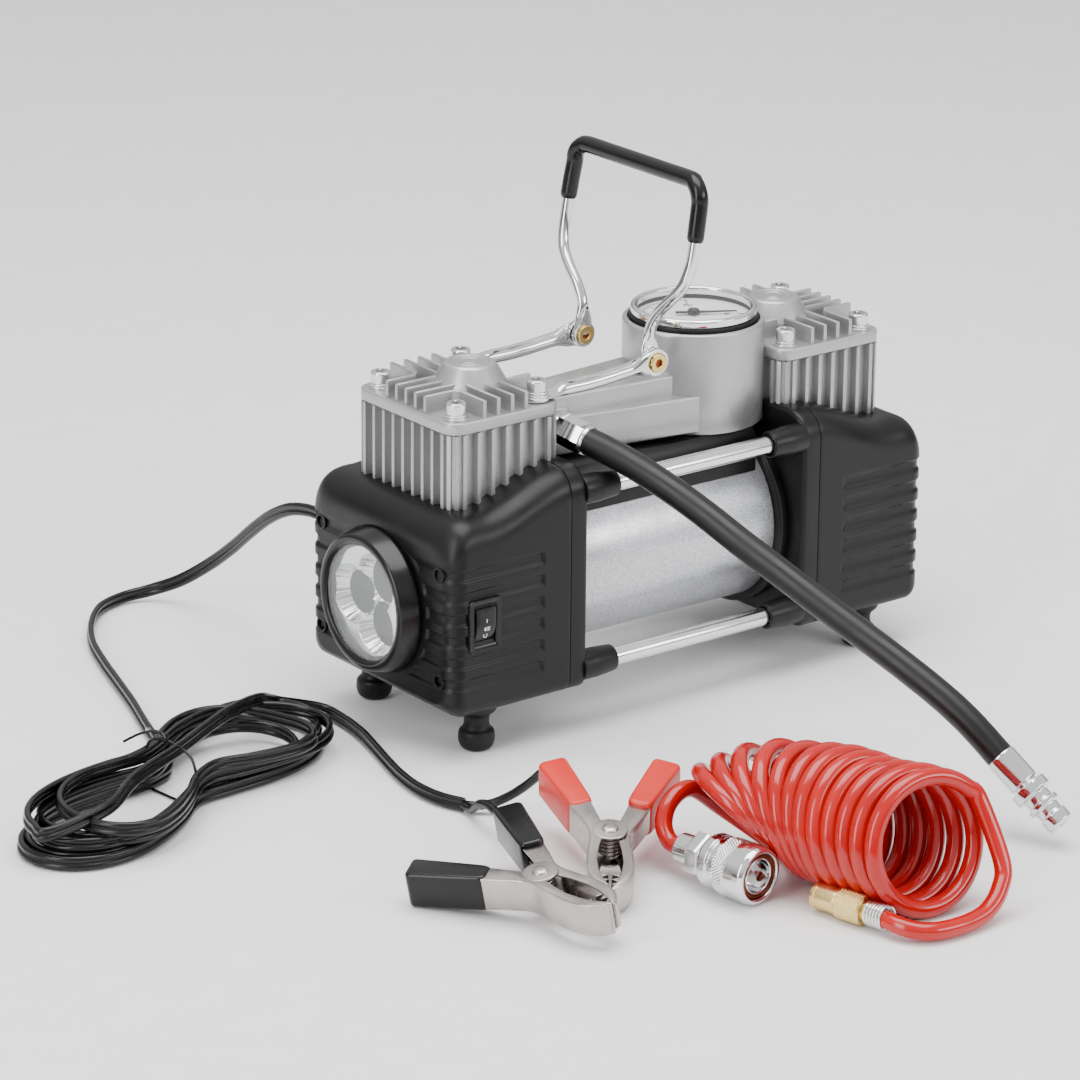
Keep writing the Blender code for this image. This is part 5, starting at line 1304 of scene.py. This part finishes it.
@dataclass
class PowerCable:
    """The flat twin cable: from the gland to a tied hank, and on to the battery clamps."""

    lobe: float = 1.5
    width: float = 6.0
    lead_radius: float = 1.9
    hank_at: tuple[float, float] = (-233.0, -8.0)
    hank_turn: float = 20.6
    first: tuple[tuple[float, float, float], ...] = (
        (-107, 66.4, 75.4), (-107, 78, 74.6), (-107, 92, 71), (-106, 108, 63), (-104, 126, 51),
                                                     (-102, 145, 37),
        (-102, 164, 23.5), (-106, 181, 12), (-114, 193, 5.5), (-127, 197, 3.4), (-143, 191, 3.3),
                                                     (-158, 175, 3.3),
        (-170, 155, 3.3), (-179, 132, 3.3), (-187, 108, 3.3), (-195, 84, 3.3), (-204, 60, 3.3))
    last: tuple[tuple[float, float, float], ...] = (
        (-135.5, 27, 4.6), (-133.5, 14, 3.3), (-136, -2, 3.3), (-140.5, -18, 3.3), (-145.5, -34, 3.3),
        (-150, -50, 3.3), (-152.5, -66, 3.3), (-151.5, -80, 3.3), (-147.5, -91, 3.3))
    red: tuple[tuple[float, float, float], ...] = (
        (-147.5, -91, 3.3), (-144.5, -94.6, 3.4), (-139, -99, 4.6), (-134.6, -104.6, 8.6),
                                                   (-132, -110.4, 13.6),
        (-130.8, -116, 18.8), (-130.6, -121.6, 23.4))
    black: tuple[tuple[float, float, float], ...] = (
        (-147.5, -91, 3.3), (-147.9, -96.7, 3.4), (-149.5, -101.5, 6.5), (-151, -107, 10),
                                                     (-151.5, -113, 11.5),
        (-152, -119.5, 10.5), (-153.8, -126.5, 10.8), (-157, -133.5, 13.6), (-161, -139.8, 17.6),
        (-164.0, -143.9, 19.8))

    def from_hank(self, points: np.ndarray) -> np.ndarray:
        """Points in the hank's own axes brought to the frame's."""
        a = math.radians(self.hank_turn)
        x, y, z = points.T
        return np.stack([self.hank_at[0] + x * math.cos(a) - y * math.sin(a),
                         self.hank_at[1] + x * math.sin(a) + y * math.cos(a), z], -1)

    def hank(self) -> np.ndarray:
        """The folded strands: s = L cos a, y = W sin a (0.5 + 1.33 |cos a|) + A |cos a|^1.5, in layers.

        L, W and A blend from loop to loop, and so does the height, so that some loops lie aside.

        Returns:
            The points, in millimetres.
        """
        turns = np.array([0.0, 1, 2, 3, 4, 5, 6])
        angle = np.linspace(75, 5 * 360 + 180, 5 * 30 + 9)
        turn = angle / 360
        long_left = np.interp(turn, turns, [84, 92, 74, 90, 58, 86, 93])
        long_right = np.interp(turn, turns, [78, 88, 70, 90, 82, 62, 90])
        wide = np.interp(turn, turns, [22, 28, 18, 27, 24, 30, 18])
        aside = np.interp(turn, turns, [0, 3, -3, 4, -11, -9, 2])
        height = np.interp(turn, [0, 0.9, 1.15, 1.9, 2.15, 2.9, 3.15, 3.9, 4.15, 6],
                      [3.3, 3.3, 3.3, 3.5, 9.2, 9.2, 9.4, 9.8, 15.6, 15.9])
        a = np.radians(angle)
        reach = np.where(np.cos(a) > 0, long_right, long_left)
        y = wide * 0.97 * np.sin(a) * (0.5 + 1.33 * np.abs(np.cos(a))) + aside * np.abs(np.cos(a)) ** 1.5
        return self.from_hank(np.stack([reach * np.cos(a), y, height], -1))

    def tie(self) -> bpy.types.Object:
        """The thin wire round the hank's waist, with two loose ends twisted once."""
        loop = soften([(-15.8, 0.7), (15.8, 0.7), (16.6, 12), (13.5, 23.2), (0, 25.4), (-13.5, 23.2),
                       (-16.6, 12)], 8, 5)
        ring = np.stack([0 * loop[:, 0] - 3.0 + 0.25 * loop[:, 0], loop[:, 0], loop[:, 1]], -1)
        form = Form().swept(self.from_hank(ring), ring_section(0.6, 8), up=(0.94, 0.35, 0.02), ring=True)
        for side in (-1, 1):
            end = [(-3, 2, 25.6), (-3 + side * 1.2, 5, 27.2), (-3 - side * 1.0, 8, 28.0),
                   (-3 + side * 3, 13, 27.0), (-3 + side * 8, 18, 24.0)]
            form.swept(self.from_hank(smooth_line(end, 1.0)), ring_section(0.6, 8))
        return piece(form, "hank_wire_tie", (JACKET,))

    def build(self, clamps: Sequence["Clamp"]) -> None:
        """Args:
            clamps: the red and the black clamp, which the leads run into.
        """
        over = self.from_hank(np.array([(-62, -12.5, 19.5), (-36, -7, 22.2), (0, -3, 22.4), (38, 3, 22.3),
                                        (70, 8, 18.0), (90, 10.5, 9.5)]))
        points = np.concatenate([np.array(self.first), self.hank(), over, np.array(self.last)])
        line = smooth_line(points, 2.5)
        twist = 82.0
        form = Form().swept(line, twin_section(self.lobe), twist=twist)
        cable = piece(form, "power_cable_flat", (JACKET,), ROOT,
                      ["power_cable", "cable_hank", "clip_cable"])
        self.tie()
        LOG.info("power cable: %.3f m", line_length(line) * MM)
        for clamp, route in zip(clamps, (self.red, self.black)):
            colour = clamp.colour
            way = smooth_line(np.concatenate([route, clamp.lead_in(-1 if colour == "red" else 1)]), 1.6)
            form = Form().swept(way, ring_section(self.lead_radius, 16))
            on_jaw = colour == "black"
            lead = piece(form, f"{colour}_lead_wire", (JACKET,), None if on_jaw else ROOT,
                         [f"{colour}_lead"])
            if on_jaw:
                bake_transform(lead)
            clamp.build()


@dataclass
class Clamp:
    """A sprung battery clamp of two stamped halves with plastic grips."""

    colour: str
    at: tuple[float, float, float]
    heading: float
    tilt: float
    roll: float
    opening: float
    grip: Finish
    half_wide: float = 6.9
    reach: float = 54.0
    sheet: float = 1.0

    def place(self) -> np.ndarray:
        """The clamp's frame: X to the jaws, Z along the pin."""
        made = (Matrix.Rotation(math.radians(self.heading), 4,
                                "Z") @ Matrix.Rotation(math.radians(self.tilt), 4, "Y")
                @ Matrix.Rotation(math.radians(self.roll), 4, "X"))
        place = np.array(made)
        place[:3, 3] = self.at
        return place

    def spot(self, reach: float, offset: float) -> tuple[float, float]:
        """A point by the handle's own length and offset from its middle line."""
        a = math.radians(180 - self.opening)
        return (reach * math.cos(a) + offset * math.sin(a), reach * math.sin(a) - offset * math.cos(a))

    def half(self, sign: int, body: str, node: str) -> bpy.types.Object:
        """One half: two side plates, the broad back, teeth, and the grip over its handle.

        Args:
            sign: 1 for the jaw half, -1 for the base half.
            body: the body it rides on.
            node: the frame node it stands for.

        Returns:
            The object.
        """
        place, wide = self.place(), self.half_wide
        back = [(39.6, 0.6), (38.4, 3.6), (35, 6.6), (30, 8.7), (24, 9.6), (14, 9.0), (4, 8.0),
                self.spot(5, 7.4), self.spot(14, 7.4), self.spot(self.reach - 8, 6.8)]
        inner = [self.spot(self.reach - 8, -4.2), self.spot(26, -2.2), self.spot(14, -0.4), (-3.5, 2.6),
                 (3, 2.0), (6, 3.2), (12, 4.4), (20, 5.2), (28, 4.4), (34, 2.6), (38.5, 0.3)]
        edge = even_line(np.array(soften(back, 2.4, 4, False)), 0.8)
        side = soften(back + inner, 1.2, 3)
        side = np.stack([side[:, 0], sign * side[:, 1]], -1)
        form = Form()
        shift = 0.0 if sign < 0 else -1.25
        for face in (-1, 1):
            low = face * (wide + shift - self.sheet / 2) - self.sheet / 2
            form.raised(side, low, low + self.sheet, place, 0.35)
        line = inset_line(edge, 0.6)
        back_sheet = np.stack([line[:, 0], sign * line[:, 1], 0 * line[:, 0]], -1)
        section = round_box((-0.6, -wide - shift), (0.6, wide + shift), 0.45, 3)
        form.swept(moved(back_sheet, place), section, up=place[:3, 2])
        for k in range(4):
            x = 38.6 - 3.1 * k
            tooth = np.array([(x - 1.5, 2.6 + 0.55 * k), (x, 0.25 + 0.15 * k), (x + 1.1, 2.0 + 0.5 * k)])
            tooth[:, 1] *= sign
            form.raised(tooth, -wide + 1.6, wide - 1.6, place, 0.15)
        if sign < 0:
            self.pin(form, place)
        low, high = self.spot(20.5, 7.7), self.spot(self.reach - 1.5, 7.0)
        grip = [low, high, self.spot(self.reach, 5.4), self.spot(self.reach, -4.0),
                self.spot(self.reach - 1.5, -5.4), self.spot(26, -3.0), self.spot(20.5, -2.2)]
        grip = soften([(x, sign * y) for x, y in grip], 3.4, 5)
        form.raised(grip, -wide - 0.8, wide + 0.8, place, 1.5, 1)
        return piece(form, f"{node}_stamping", (NICKEL, self.grip), body, [node])

    def pin(self, form: Form, place: np.ndarray) -> None:
        """Adds the pin's two riveted caps, the pin itself and the spring round it.

        Args:
            form: the base half's form.
            place: the clamp's frame.
        """
        wide = self.half_wide
        for face in (-1, 1):
            cap = place @ place_along((0, 0, face * wide), (0, 0, face), (1, 0, 0))
            form.turned(oblong(0, 7.0, -0.9, 0.1), cap, 0.4, 48)
            form.turned([(0, -0.6), (3.3, -0.6), (3.3, 0.2), (2.9, 0.8), (1.8, 1.25), (0, 1.35)], cap,
                        0.3, 32)
        form.turned(oblong(0, 2.5, -wide, wide), place, 0.1, 24)
        turn = np.linspace(0, 4.5 * 2 * math.pi, 120)
        coil = np.stack([4.3 * np.cos(turn), 4.3 * np.sin(turn), np.linspace(-4, 4, 120)], -1)
        form.swept(moved(coil, place), ring_section(0.75, 10), up=place[:3, 2] + 1e-3)

    def lead_in(self, sign: int) -> np.ndarray:
        """Points along the inside of a handle, from its end towards the pin, for the lead's bare run."""
        inside = [self.spot(reach, 1.6) for reach in (self.reach - 4, 40, 30, 20, 12)]
        return moved(np.array([(x, sign * y, 0) for x, y in inside]), self.place())

    def build(self) -> list[bpy.types.Object]:
        """Makes both halves and gives them back."""
        return [self.half(-1, ROOT, f"{self.colour}_clip_base"),
                self.half(1, f"{self.colour}_jaw", f"{self.colour}_clip_jaw")]


def inset_line(line: np.ndarray, distance: float) -> np.ndarray:
    """An open line moved to its left by a distance."""
    along = unit(np.gradient(line, axis=0))
    return line + distance * np.stack([-along[:, 1], along[:, 0]], -1)


@dataclass
class RecoilHose:
    """The coiled red hose with its quick coupler and its tyre chuck."""

    radius: float = 3.6
    coil_radius: float = 26.4
    turns: float = 12.25
    coupler: tuple[tuple[float, float, float], ...] = ((-116.8, -194, 12.3), (-110.8, -235.1, 12.3))
    chuck: tuple[tuple[float, float, float], ...] = ((-89, -279, 6.3), (-95, -250, 6.3))

    def route(self) -> np.ndarray:
        """The whole line: the coupler's tail, the helix, then the chuck's tail.

        The helix point is B + R rise + R (side cos a + rise sin a). B runs along the floor under the
        turns, a falls from 0, and side and rise turn and lean so that the turns fan over at the back.

        Returns:
            The points, in millimetres.
        """
        count = int(self.turns * 24)
        share = np.linspace(0, 1, count)
        alpha = np.radians(-share * self.turns * 360)[:, None]
        stops = [0, 0.17, 0.33, 0.5, 0.75, 1]
        low = np.stack([np.interp(share, stops, [-73.5, -72.8, -72.2, -70.8, -67, -61.5]),
                        np.interp(share, stops, [-203, -216.5, -231, -246, -267.5, -289]),
                        0 * share + 3.7], -1)
        yaw = np.radians(np.interp(share, stops, [82, 56, 28, 9, 0, -6]))
        lean = np.radians(np.interp(share, stops, [49, 38, 26, 19, 17, 13]))
        side = np.stack([np.cos(yaw), np.sin(yaw), 0 * yaw], -1)
        rise = np.stack([-np.sin(yaw) * np.sin(lean), np.cos(yaw) * np.sin(lean), np.cos(lean)], -1)
        radius = (self.coil_radius - 0.5 * (1 + np.sin(share * 19.0)) * (share < 0.97))[:, None]
        helix = low + self.coil_radius * rise + radius * (side * np.cos(alpha) + rise * np.sin(alpha))
        head = np.array([(-117.0, -193.4, 12.3), (-117.8, -187.5, 12.9), (-116.6, -182, 17.5),
                         (-112, -178.6, 23.5), (-104.5, -177.0, 27.4), (-96.5, -176.4, 26.2)])
        tail = np.array([(-36.3, -291.5, 19.5), (-42, -296.8, 11), (-50.5, -299.8, 5.8),
                         (-60, -301.2, 4.1), (-70, -301.6, 4.1), (-79, -300.2, 4.5), (-85, -296, 5.0),
                         (-88, -289.8, 5.8), (-88.7, -283.5, 6.2)])
        return smooth_line(np.concatenate([head, helix[1:-8], tail]), 1.8)

    def knurled(self, low: float, high: float, radius: float, place: np.ndarray, ridges: int, mark: int,
                form: Form) -> None:
        """A sleeve whose radius is R + 0.18 |sin(n a + k z)| |sin(n a - k z)|, for a crossed knurl.

        Args:
            low: height of its start.
            high: height of its end.
            radius: R.
            place: where its axis stands.
            ridges: n, how many ridges run round it.
            mark: which finish it takes.
            form: what it is added to.
        """
        z = np.linspace(low, high, max(8, int((high - low) / 0.3)))[:, None]
        turn = np.linspace(0, 2 * math.pi, ridges * 6, endpoint=False)[None, :]
        cut = np.abs(np.sin(ridges / 2 * turn + 1.7 * z)) * np.abs(np.sin(ridges / 2 * turn - 1.7 * z))
        fade = np.clip(np.minimum(z - low, high - z) / 0.6, 0, 1)
        r = radius - 0.5 * (1 - fade) + 0.38 * cut * fade
        form.grid(moved(np.stack([r * np.cos(turn), r * np.sin(turn), z + 0 * turn], -1), place), False,
                  mark)

    def make_coupler(self) -> bpy.types.Object:
        """The chromed quick coupler: ferrule, hexagon, knurled sleeve, and a socket and valve pin of brass
        darkened with painted shade.
        """
        start, end = (np.array(p) for p in self.coupler)
        place = place_along(start, end - start, (0, 0, 1))
        form = Form().turned([(0, 0), (6.0, 0), (6.4, 0.6), (6.4, 7.4), (7.2, 8.4), (0, 8.4)], place, 0.4,
                             56)
        form.raised(arc((0, 0), 9.6, 0, 300, 5), 8.4, 15.0, place, 0.8)
        body = [(7.2, 14.8), (8.4, 14.9), (8.6, 16.2), (10.6, 16.9), (11.2, 18.0), (11.2, 21.4),
                (10.4, 22.0), (10.4, 24.4), (11.0, 25.0), (11.0, 25.4), (7.2, 25.4)]
        form.turned(body, place, 0.35, 72)
        self.knurled(25.2, 31.6, 11.45, place, 56, 0, form)
        nose = [(9.6, 31.4), (11.1, 31.4), (11.9, 32.2), (11.9, 39.6), (11.0, 41.4), (10.0, 41.6),
                (9.4, 41.2), (9.2, 39.6)]
        form.turned(nose, place, 0.4, 72)
        # The socket's inner sleeve takes the dark brass: painted shade inside the socket.
        form.turned([(7.3, 30), (9.4, 30), (9.4, 39.6), (8.6, 40.4), (7.3, 40.0)], place, 0.3, 64, 1)
        form.turned([(6.6, 22), (7.4, 22), (7.4, 40.2), (7.0, 40.6), (6.6, 40.2)], place, 0.2, 64)
        form.turned(oblong(0, 6.8, 21.4, 23.4), place, 0.2, 48, 2)
        # The valve pin in the same dark brass: painted shade.
        form.turned([(0, 23.2), (2.2, 23.2), (2.2, 31), (1.4, 33), (0, 33.4)], place, 0.3, 32, 1)
        return piece(form, "quick_coupler_body", (CHROME, SHADED_BORE_BRASS, RUBBER), "recoil_hose",
                     ["quick_coupler"])

    def make_chuck(self) -> bpy.types.Object:
        """The brass tyre chuck: spring, knurled nut and plain nose."""
        start, end = (np.array(p) for p in self.chuck)
        place = place_along(start, end - start, (0, 0, 1))
        turn = np.linspace(0, 6 * 2 * math.pi, 190)
        spring = np.stack([4.55 * np.cos(turn), 4.55 * np.sin(turn), -5.2 + 8.6 * np.linspace(0, 1, 190)],
                          -1)
        form = Form().swept(moved(spring, place), ring_section(0.66, 10), up=place[:3, 2] + 1e-3, mark=1)
        form.turned([(0, 3.0), (3.9, 3.0), (4.2, 4.0), (4.2, 5.4), (0, 5.4)], place, 0.3, 48)
        self.knurled(5.4, 17.8, 5.85, place, 34, 0, form)
        form.turned([(3.2, 17.6), (5.3, 17.6), (5.4, 18.4), (5.4, 26.6), (5.0, 27.0), (5.4, 27.4),
                     (5.2, 29.4), (4.8, 29.8), (3.2, 29.6)], place, 0.3, 56)
        form.turned(oblong(0, 3.3, 17.4, 22.0), place, 0.2, 40, 2)
        return piece(form, "tyre_chuck_body", (BRASS, ZINC, RUBBER), "recoil_hose", ["tyre_chuck"])

    def build(self) -> None:
        line = self.route()
        form = Form().swept_round(line, self.radius, 22)
        hose = piece(form, "recoil_hose_tube", (RED_HOSE,), "recoil_hose", ["recoil_coil", "coupler_tail",
                                                                           "chuck_tail"])
        ends = [self.make_coupler(), self.make_chuck()]
        LOG.info("recoil hose: %.3f m", line_length(line) * MM)


class Insides:
    """Materials for the frame nodes that stay: the motor's and the cranks' inner parts."""

    DRESS = {"motor_magnet_ring": MAGNET, "armature": WINDING, "front_crank_gear": STEEL,
             "rear_crank_gear": STEEL, "front_piston": STEEL, "rear_piston": STEEL}

    def build(self) -> None:
        """Gives each kept node its material."""
        for name, finish in self.DRESS.items():
            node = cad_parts[name]
            for slot in node.material_slots:
                slot.material = finish.material()
            if not node.material_slots:
                node.data.materials.append(finish.material())


@dataclass
class Gland:
    """The rubber gland with its grip rings."""

    x: float = -107.0
    z: float = 76.0

    def build(self) -> None:
        """Makes the gland turned about its axis."""
        profile = [(0, 49), (4.2, 49), (4.2, 52.3), (6.4, 52.3), (6.4, 55), (5.2, 56), (4.9, 57.2),
                   (4.4, 57.5), (4.7, 59.0), (4.2, 59.4), (4.5, 61.0), (3.9, 61.4), (4.1, 63.0),
                   (3.7, 63.4), (3.6, 66), (0, 66)]
        where = place_along((self.x, 0, self.z), (0, 1, 0))
        piece(Form().turned(profile, where, 0.4, 48), "cable_gland_sleeve", (RUBBER,), ROOT,
              ["cable_gland"])


@dataclass
class Studio:
    """The floor, soft lights and camera."""

    camera_at: tuple[float, float, float] = (-1.2255, -1.5437, 0.7564)
    ahead: tuple[float, float, float] = (0.57440, 0.74783, -0.33288)
    right: tuple[float, float, float] = (0.79488, -0.60671, 0.00860)
    lens: float = 160.24
    floor_reach: float = 4.0

    def light(self, name: str, at: tuple[float, float, float], size: tuple[float, float],
              power: float) -> None:
        """An oblong soft light that faces the machine.

        Args:
            name: the light's name.
            at: its place, in metres.
            size: its width and height, in metres.
            power: its power, in watts.
        """
        lamp = bpy.data.lights.new(name, "AREA")
        lamp.shape, lamp.size, lamp.size_y, lamp.energy = "RECTANGLE", size[0], size[1], power
        holder = bpy.data.objects.new(name, lamp)
        holder.location = at
        holder.rotation_euler = (Vector((-0.03, -0.05, 0.1)) - Vector(at)).to_track_quat("-Z",
                                                                                         "Y").to_euler()
        bpy.context.scene.collection.objects.link(holder)

    def build(self) -> None:
        """Makes the floor, lights, sky and camera."""
        mesh = bpy.data.meshes.new("floor")
        corners = [(x * self.floor_reach, y * self.floor_reach, 0) for x,
                   y in ((-1, -1), (1, -1), (1, 1), (-1, 1))]
        mesh.from_pydata(corners, [], [(0, 1, 2, 3)])
        mesh.materials.append(FLOOR.material())
        ground = bpy.data.objects.new("floor", mesh)
        ground.location.z = -0.0002
        bpy.context.scene.collection.objects.link(ground)
        world = bpy.data.worlds.new("studio")
        world.use_nodes = True
        nodes, links = world.node_tree.nodes, world.node_tree.links
        set_inputs(nodes["Background"], {"Color": (1, 1, 1, 1)})
        way = nodes.new("ShaderNodeTexCoord")
        split, fade = nodes.new("ShaderNodeSeparateXYZ"), nodes.new("ShaderNodeMapRange")
        set_inputs(fade, {"From Min": 0.02, "From Max": 0.5, "To Min": 0.22, "To Max": 1.05})
        links.new(way.outputs["Generated"], split.inputs["Vector"])
        links.new(split.outputs["Z"], fade.inputs["Value"])
        links.new(fade.outputs["Result"], nodes["Background"].inputs["Strength"])
        bpy.context.scene.world = world
        self.light("overhead", (-0.1, -0.1, 1.5), (1.4, 1.0), 29.0)
        self.light("left_panel", (-1.5, -0.3, 0.7), (0.5, 1.3), 14.0)
        self.light("right_panel", (0.7, -1.6, 0.75), (1.1, 0.5), 13.0)
        camera = bpy.data.cameras.new("camera")
        camera.lens, camera.sensor_width, camera.clip_start = self.lens, 36.0, 0.05
        holder = bpy.data.objects.new("camera", camera)
        ahead, right = Vector(self.ahead).normalized(), Vector(self.right).normalized()
        up = right.cross(ahead)
        turn = Matrix((right, up, -ahead)).transposed()
        holder.matrix_world = Matrix.Translation(self.camera_at) @ turn.to_4x4()
        bpy.context.scene.collection.objects.link(holder)
        bpy.context.scene.camera = holder


def main() -> None:
    """Builds the sub-assemblies in order, then the studio."""
    logging.basicConfig(level=logging.INFO, format="%(name)s: %(message)s")
    Housings().build()
    Motor().build()
    Cylinders().build()
    Manifold().build()
    Gauge().build()
    Handle().build()
    Lamp().build()
    Switch().build()
    Gland().build()
    AirHose().build()
    PowerCable().build((Clamp("red", (-140.9, -178.5, 14.7), -127.8, 11.2, 0.0, 25.1, RED_GRIP),
                        Clamp("black", (-187.2, -195.7, 14.3), -83.7, 0.0, 12.4, 28.9, GLOSS_BLACK)))
    RecoilHose().build()
    Insides().build()
    Studio().build()


if __name__ == "__main__":
    main()
